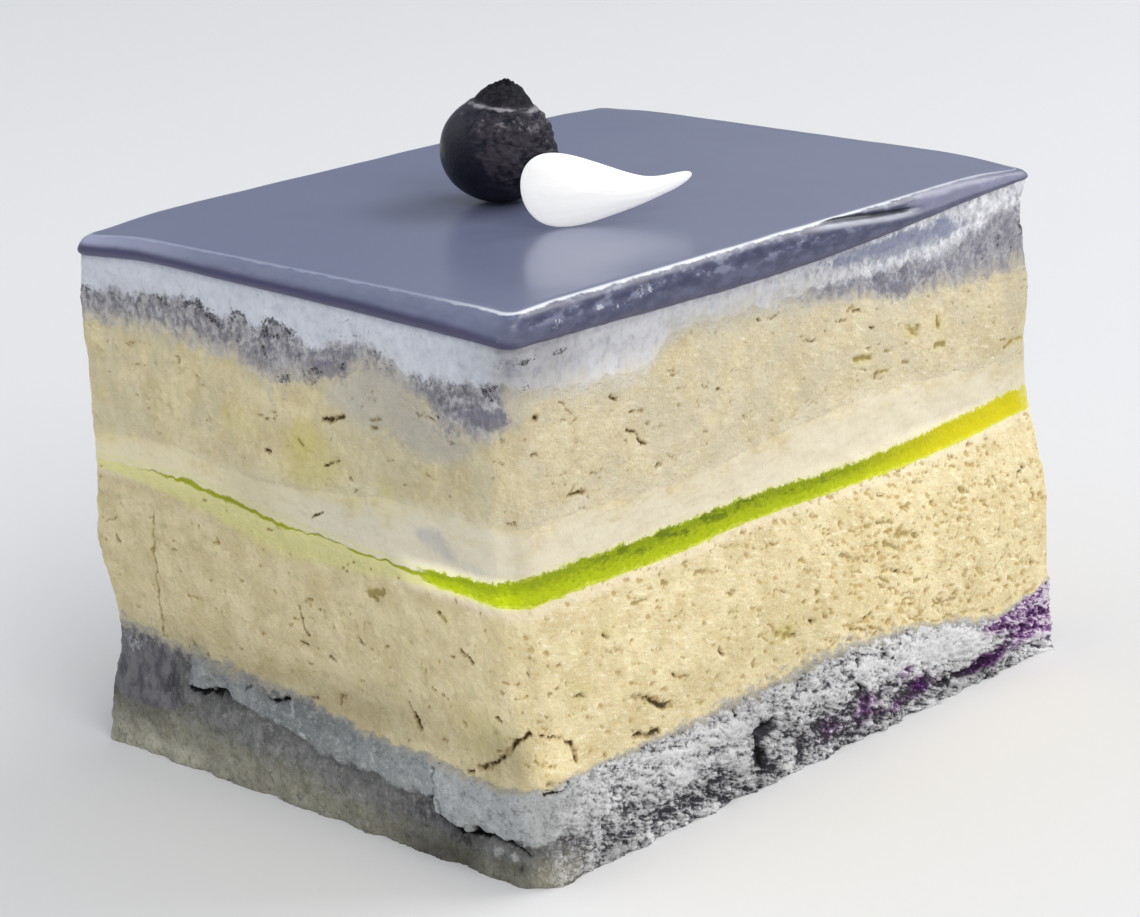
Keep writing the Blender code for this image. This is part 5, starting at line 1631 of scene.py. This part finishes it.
def petal_sheet(along, across):
    """The petal's middle surface: a disc, -1 to 1 along and across, laid from the wide end to the
    tip, narrowing by a power of the distance to the tip and cupped outwards."""
    share = (along + 1) / 2
    start, end = np.array([*PETAL_WIDE_END, 0]), np.array([*PETAL_TIP, 0])
    axis = (end - start) / np.linalg.norm(end - start)
    bulge = np.array([axis[1], -axis[0], 0])
    width = PETAL_HALF_WIDTH * (1 - share) ** PETAL_TAPER + PETAL_STALK
    blunt = np.sqrt((1 - np.clip(along, 0, 1) ** 10) / np.maximum(1 - np.clip(along, 0, 1) ** 2, 1e-6))
    blunt = 1 + (blunt - 1) * ease(along, 0.3, 0.9)
    lean = math.radians(PETAL_LEAN)
    cup = PETAL_CUP * np.maximum(0, 1 - along**2 - across**2) * (1 - share) ** 0.6
    reach = width * across * blunt
    point = start + (end - start) * share[..., None]
    point = point + bulge * (cup * math.cos(lean) - reach * math.sin(lean))[..., None]
    point[..., 2] = top_height(point[..., 1]) + line_through(PETAL_AXIS, share) + reach * math.cos(lean)
    return point


def make_petal():
    """The petal: its middle surface moved out both ways along its normal by half its thickness times
    a power of the distance from its rim, so that the two sides meet in a round edge."""
    colours, sizes = settings()
    along, across, facing = np.moveaxis(ball(PETAL_GRID, 0, np.pi)[2], -1, 0)
    centre = petal_sheet(along * PETAL_REACH, across * PETAL_REACH)
    u, v = along * PETAL_SLOPES_REACH, across * PETAL_SLOPES_REACH
    here = petal_sheet(u, v)
    d_along = petal_sheet(np.clip(u + PETAL_STEP, -PETAL_REACH, PETAL_REACH), v) - here
    d_across = petal_sheet(u, v + PETAL_STEP) - here
    normal = np.cross(d_across, d_along)
    normal = normal / np.maximum(np.linalg.norm(normal, axis=-1, keepdims=True), 1e-12)
    half = sizes.petal_thickness / MM / 2
    offset = half * np.sign(facing) * np.abs(facing) ** PETAL_EDGE
    ripple = 0.06 * rough(np.stack([along * 2, across * 5, 0 * along], -1), 1.0, 950, 2)
    points = centre + normal * (offset + ripple)[..., None]
    foot = np.unravel_index(points[..., 2].argmin(), points.shape[:2])
    points[..., 2] += top_height(points[foot][1]) + GAP / 3 - points[foot][2]
    piece = closed_surface("petal_white", points, {"along": (along + 1) / 2})
    mat = Finish("white_petal")
    shade = mat.coats(
        colours.petal,
        ("veins", 0.45, 0.75, 0.25, (0.93, 0.93, 0.91)),
        (mat.field("along"), 0.6, 1, 0.12, (0.86, 0.86, 0.83)),
    )
    translucent_and_painted_glow = {"Subsurface_Weight": 0.7, "Subsurface_Scale": 0.004, "Subsurface_Radius": (1, 1, 1)}
    # Painted light: the emission makes the petal glow brighter than the lamps light it.
    translucent_and_painted_glow.update({"Emission_Color": (1.0, 0.985, 0.935, 1), "Emission_Strength": 0.26})
    finish_piece(piece, mat.finish(shade, 0.45, mat.texture("veins") * 0.06, 0.5, **translucent_and_painted_glow), "white_petal")


# ---- Stage -------------------------------------------------------------------------------------

# The camera's place in metres, its azimuth, elevation and roll in degrees, and its lens and sensor in
# millimetres; the floor's reach in metres; the lights' names, places, sizes, powers and colours.
CAMERA_PLACE = (0.25531, -0.26210, 0.14387)
CAMERA_TURN = (44.423, 17.451, -2.860)
CAMERA_LENS = 104.78
SENSOR = 36.0
FLOOR_REACH = 2.5
LIGHTS = [
    ("key", (1.05, -0.28, 0.72), (0.85, 0.7), 8.2, (1.0, 0.965, 0.90)),
    ("fill", (-0.62, -0.46, 0.66), (1.2, 0.8), 2.7, (0.93, 0.96, 1.0)),
    ("back", (0.36, 0.84, 0.84), (0.9, 0.34), 6.5, (1.0, 0.99, 0.97)),
]
LIGHT_AIM = (0.0, 0.0, 0.04)


def make_floor(colours):
    """The floor: rings of a disc whose edge turns down a little, closed below."""
    reaches = np.array([0.2, 1.0, 1.0, 0.6, 0.2]) * FLOOR_REACH / MM
    heights = np.array([-20.0, -20.0, 0.0, 0.0, 0.0])
    turn = np.linspace(0, 2 * np.pi, 96, endpoint=False)
    reach, height = reaches[:, None], heights[:, None]
    rings = np.stack([reach * np.cos(turn), reach * np.sin(turn), height + 0 * turn], -1)
    floor = closed_surface("studio_floor", rings, {})
    floor.data.shade_flat()
    mat = Finish("studio_floor")
    shade = mat.mix(mat.texture("floor clouds"), colours.floor, tuple(0.985 * c for c in colours.floor))
    floor.data.materials.append(mat.finish(shade, 0.75, mat.texture("floor bumps") * 0.02, 0.3))


def make_world():
    """A pale sky, brighter behind the slice but for a dark strip low down: the bright share is the
    eased dot product of the direction with the bright side, times its eased height."""
    world = bpy.data.worlds.new("studio")
    world.use_nodes = True
    sky = Nodes(world.node_tree)
    direction = sky.node("ShaderNodeTexCoord", {}, {}, "Generated")
    high = sky.ease(sky.dot(direction, (0, 0, 1)), 0.4, 0.6)
    behind = sky.ease(sky.dot(direction, (0.45, 0.89, 0)), 0.0, 0.6)
    shade = sky.mix(behind, (0.36, 0.385, 0.43), sky.mix(high, (0.16, 0.17, 0.20), (1.0, 1.0, 1.0)))
    sky.fill(sky.tree.nodes["Background"].inputs["Color"], shade)
    bpy.context.scene.world = world


def make_light(name, place, size, power, tone):
    """A soft rectangular light that looks at the slice."""
    data = bpy.data.lights.new(name, "AREA")
    data.shape = "RECTANGLE"
    data.size, data.size_y = size
    data.energy = power
    data.color = tone
    light = bpy.data.objects.new(name, data)
    light.location = place
    light.rotation_mode = "QUATERNION"
    light.rotation_quaternion = (Vector(place) - Vector(LIGHT_AIM)).to_track_quat("Z", "Y")
    bpy.context.scene.collection.objects.link(light)


def make_camera():
    """The camera at the photograph's angle: azimuth, elevation and roll."""
    azimuth, elevation, roll = (math.radians(angle) for angle in CAMERA_TURN)
    across, ahead, flat = math.cos(azimuth), math.sin(azimuth), math.cos(elevation)
    back = Vector((ahead * flat, -across * flat, math.sin(elevation)))
    level = Vector((across, ahead, 0))
    rise = back.cross(level)
    right = math.cos(roll) * level + math.sin(roll) * rise
    up = -math.sin(roll) * level + math.cos(roll) * rise
    data = bpy.data.cameras.new("camera")
    data.lens = CAMERA_LENS
    data.sensor_width = SENSOR
    data.clip_start = 0.01
    camera = bpy.data.objects.new("camera", data)
    camera.matrix_world = Matrix.Translation(CAMERA_PLACE) @ Matrix((right, up, back)).transposed().to_4x4()
    bpy.context.scene.collection.objects.link(camera)
    bpy.context.scene.camera = camera


# ---- Operators and panel -----------------------------------------------------------------------


class CAKE_OT_base(bpy.types.Operator):
    """Builds the crumbly fruit base"""

    bl_idname = "cake.base"
    bl_label = "Fruit base"

    def execute(self, context):
        make_base()
        return {"FINISHED"}


class CAKE_OT_sponges(bpy.types.Operator):
    """Builds the two sponges"""

    bl_idname = "cake.sponges"
    bl_label = "Sponges"

    def execute(self, context):
        make_lower_sponge()
        make_upper_sponge()
        return {"FINISHED"}


class CAKE_OT_curd(bpy.types.Operator):
    """Builds the lemon curd and the pale cream over it"""

    bl_idname = "cake.curd"
    bl_label = "Curd and filling"

    def execute(self, context):
        make_curd()
        make_filling()
        return {"FINISHED"}


class CAKE_OT_fruit(bpy.types.Operator):
    """Builds the fruit layer and the cream under the glaze"""

    bl_idname = "cake.fruit"
    bl_label = "Fruit layer and top cream"

    def execute(self, context):
        make_fruit_layer()
        make_top_cream()
        return {"FINISHED"}


class CAKE_OT_glaze(bpy.types.Operator):
    """Builds the mirror glaze"""

    bl_idname = "cake.glaze"
    bl_label = "Mirror glaze"

    def execute(self, context):
        make_glaze()
        return {"FINISHED"}


class CAKE_OT_topping(bpy.types.Operator):
    """Builds the berry and the petal"""

    bl_idname = "cake.topping"
    bl_label = "Berry and petal"

    def execute(self, context):
        make_berry()
        make_petal()
        return {"FINISHED"}


class CAKE_OT_stage(bpy.types.Operator):
    """Builds the floor, the sky, the lights and the camera"""

    bl_idname = "cake.stage"
    bl_label = "Studio"

    def execute(self, context):
        make_floor(settings()[0])
        make_world()
        for light in LIGHTS:
            make_light(*light)
        make_camera()
        context.scene.view_settings.view_transform = "Standard"
        return {"FINISHED"}


STEPS = [
    CAKE_OT_base, CAKE_OT_sponges, CAKE_OT_curd, CAKE_OT_fruit, CAKE_OT_glaze, CAKE_OT_topping,
    CAKE_OT_stage,
]


class CAKE_PT_slice(bpy.types.Panel):
    """Lists the cake's pieces, colours and sizes."""

    bl_label = "Cake Slice"
    bl_space_type = "VIEW_3D"
    bl_region_type = "UI"
    bl_category = "Cake"

    def draw(self, context):
        for step in STEPS:
            self.layout.operator(step.bl_idname)
        for group in (context.scene.cake_colours, context.scene.cake_sizes):
            box = self.layout.box()
            for name in group.__annotations__:
                box.prop(group, name)


CLASSES = [CakeColours, CakeSizes, *STEPS, CAKE_PT_slice]


def register():
    for each in CLASSES:
        bpy.utils.register_class(each)
    bpy.types.Scene.cake_colours = bpy.props.PointerProperty(type=CakeColours)
    bpy.types.Scene.cake_sizes = bpy.props.PointerProperty(type=CakeSizes)


def unregister():
    del bpy.types.Scene.cake_sizes
    del bpy.types.Scene.cake_colours
    for each in reversed(CLASSES):
        bpy.utils.unregister_class(each)


def main():
    register()
    for step in STEPS:
        group, name = step.bl_idname.split(".")
        getattr(getattr(bpy.ops, group), name)()


if __name__ == "__main__":
    main()
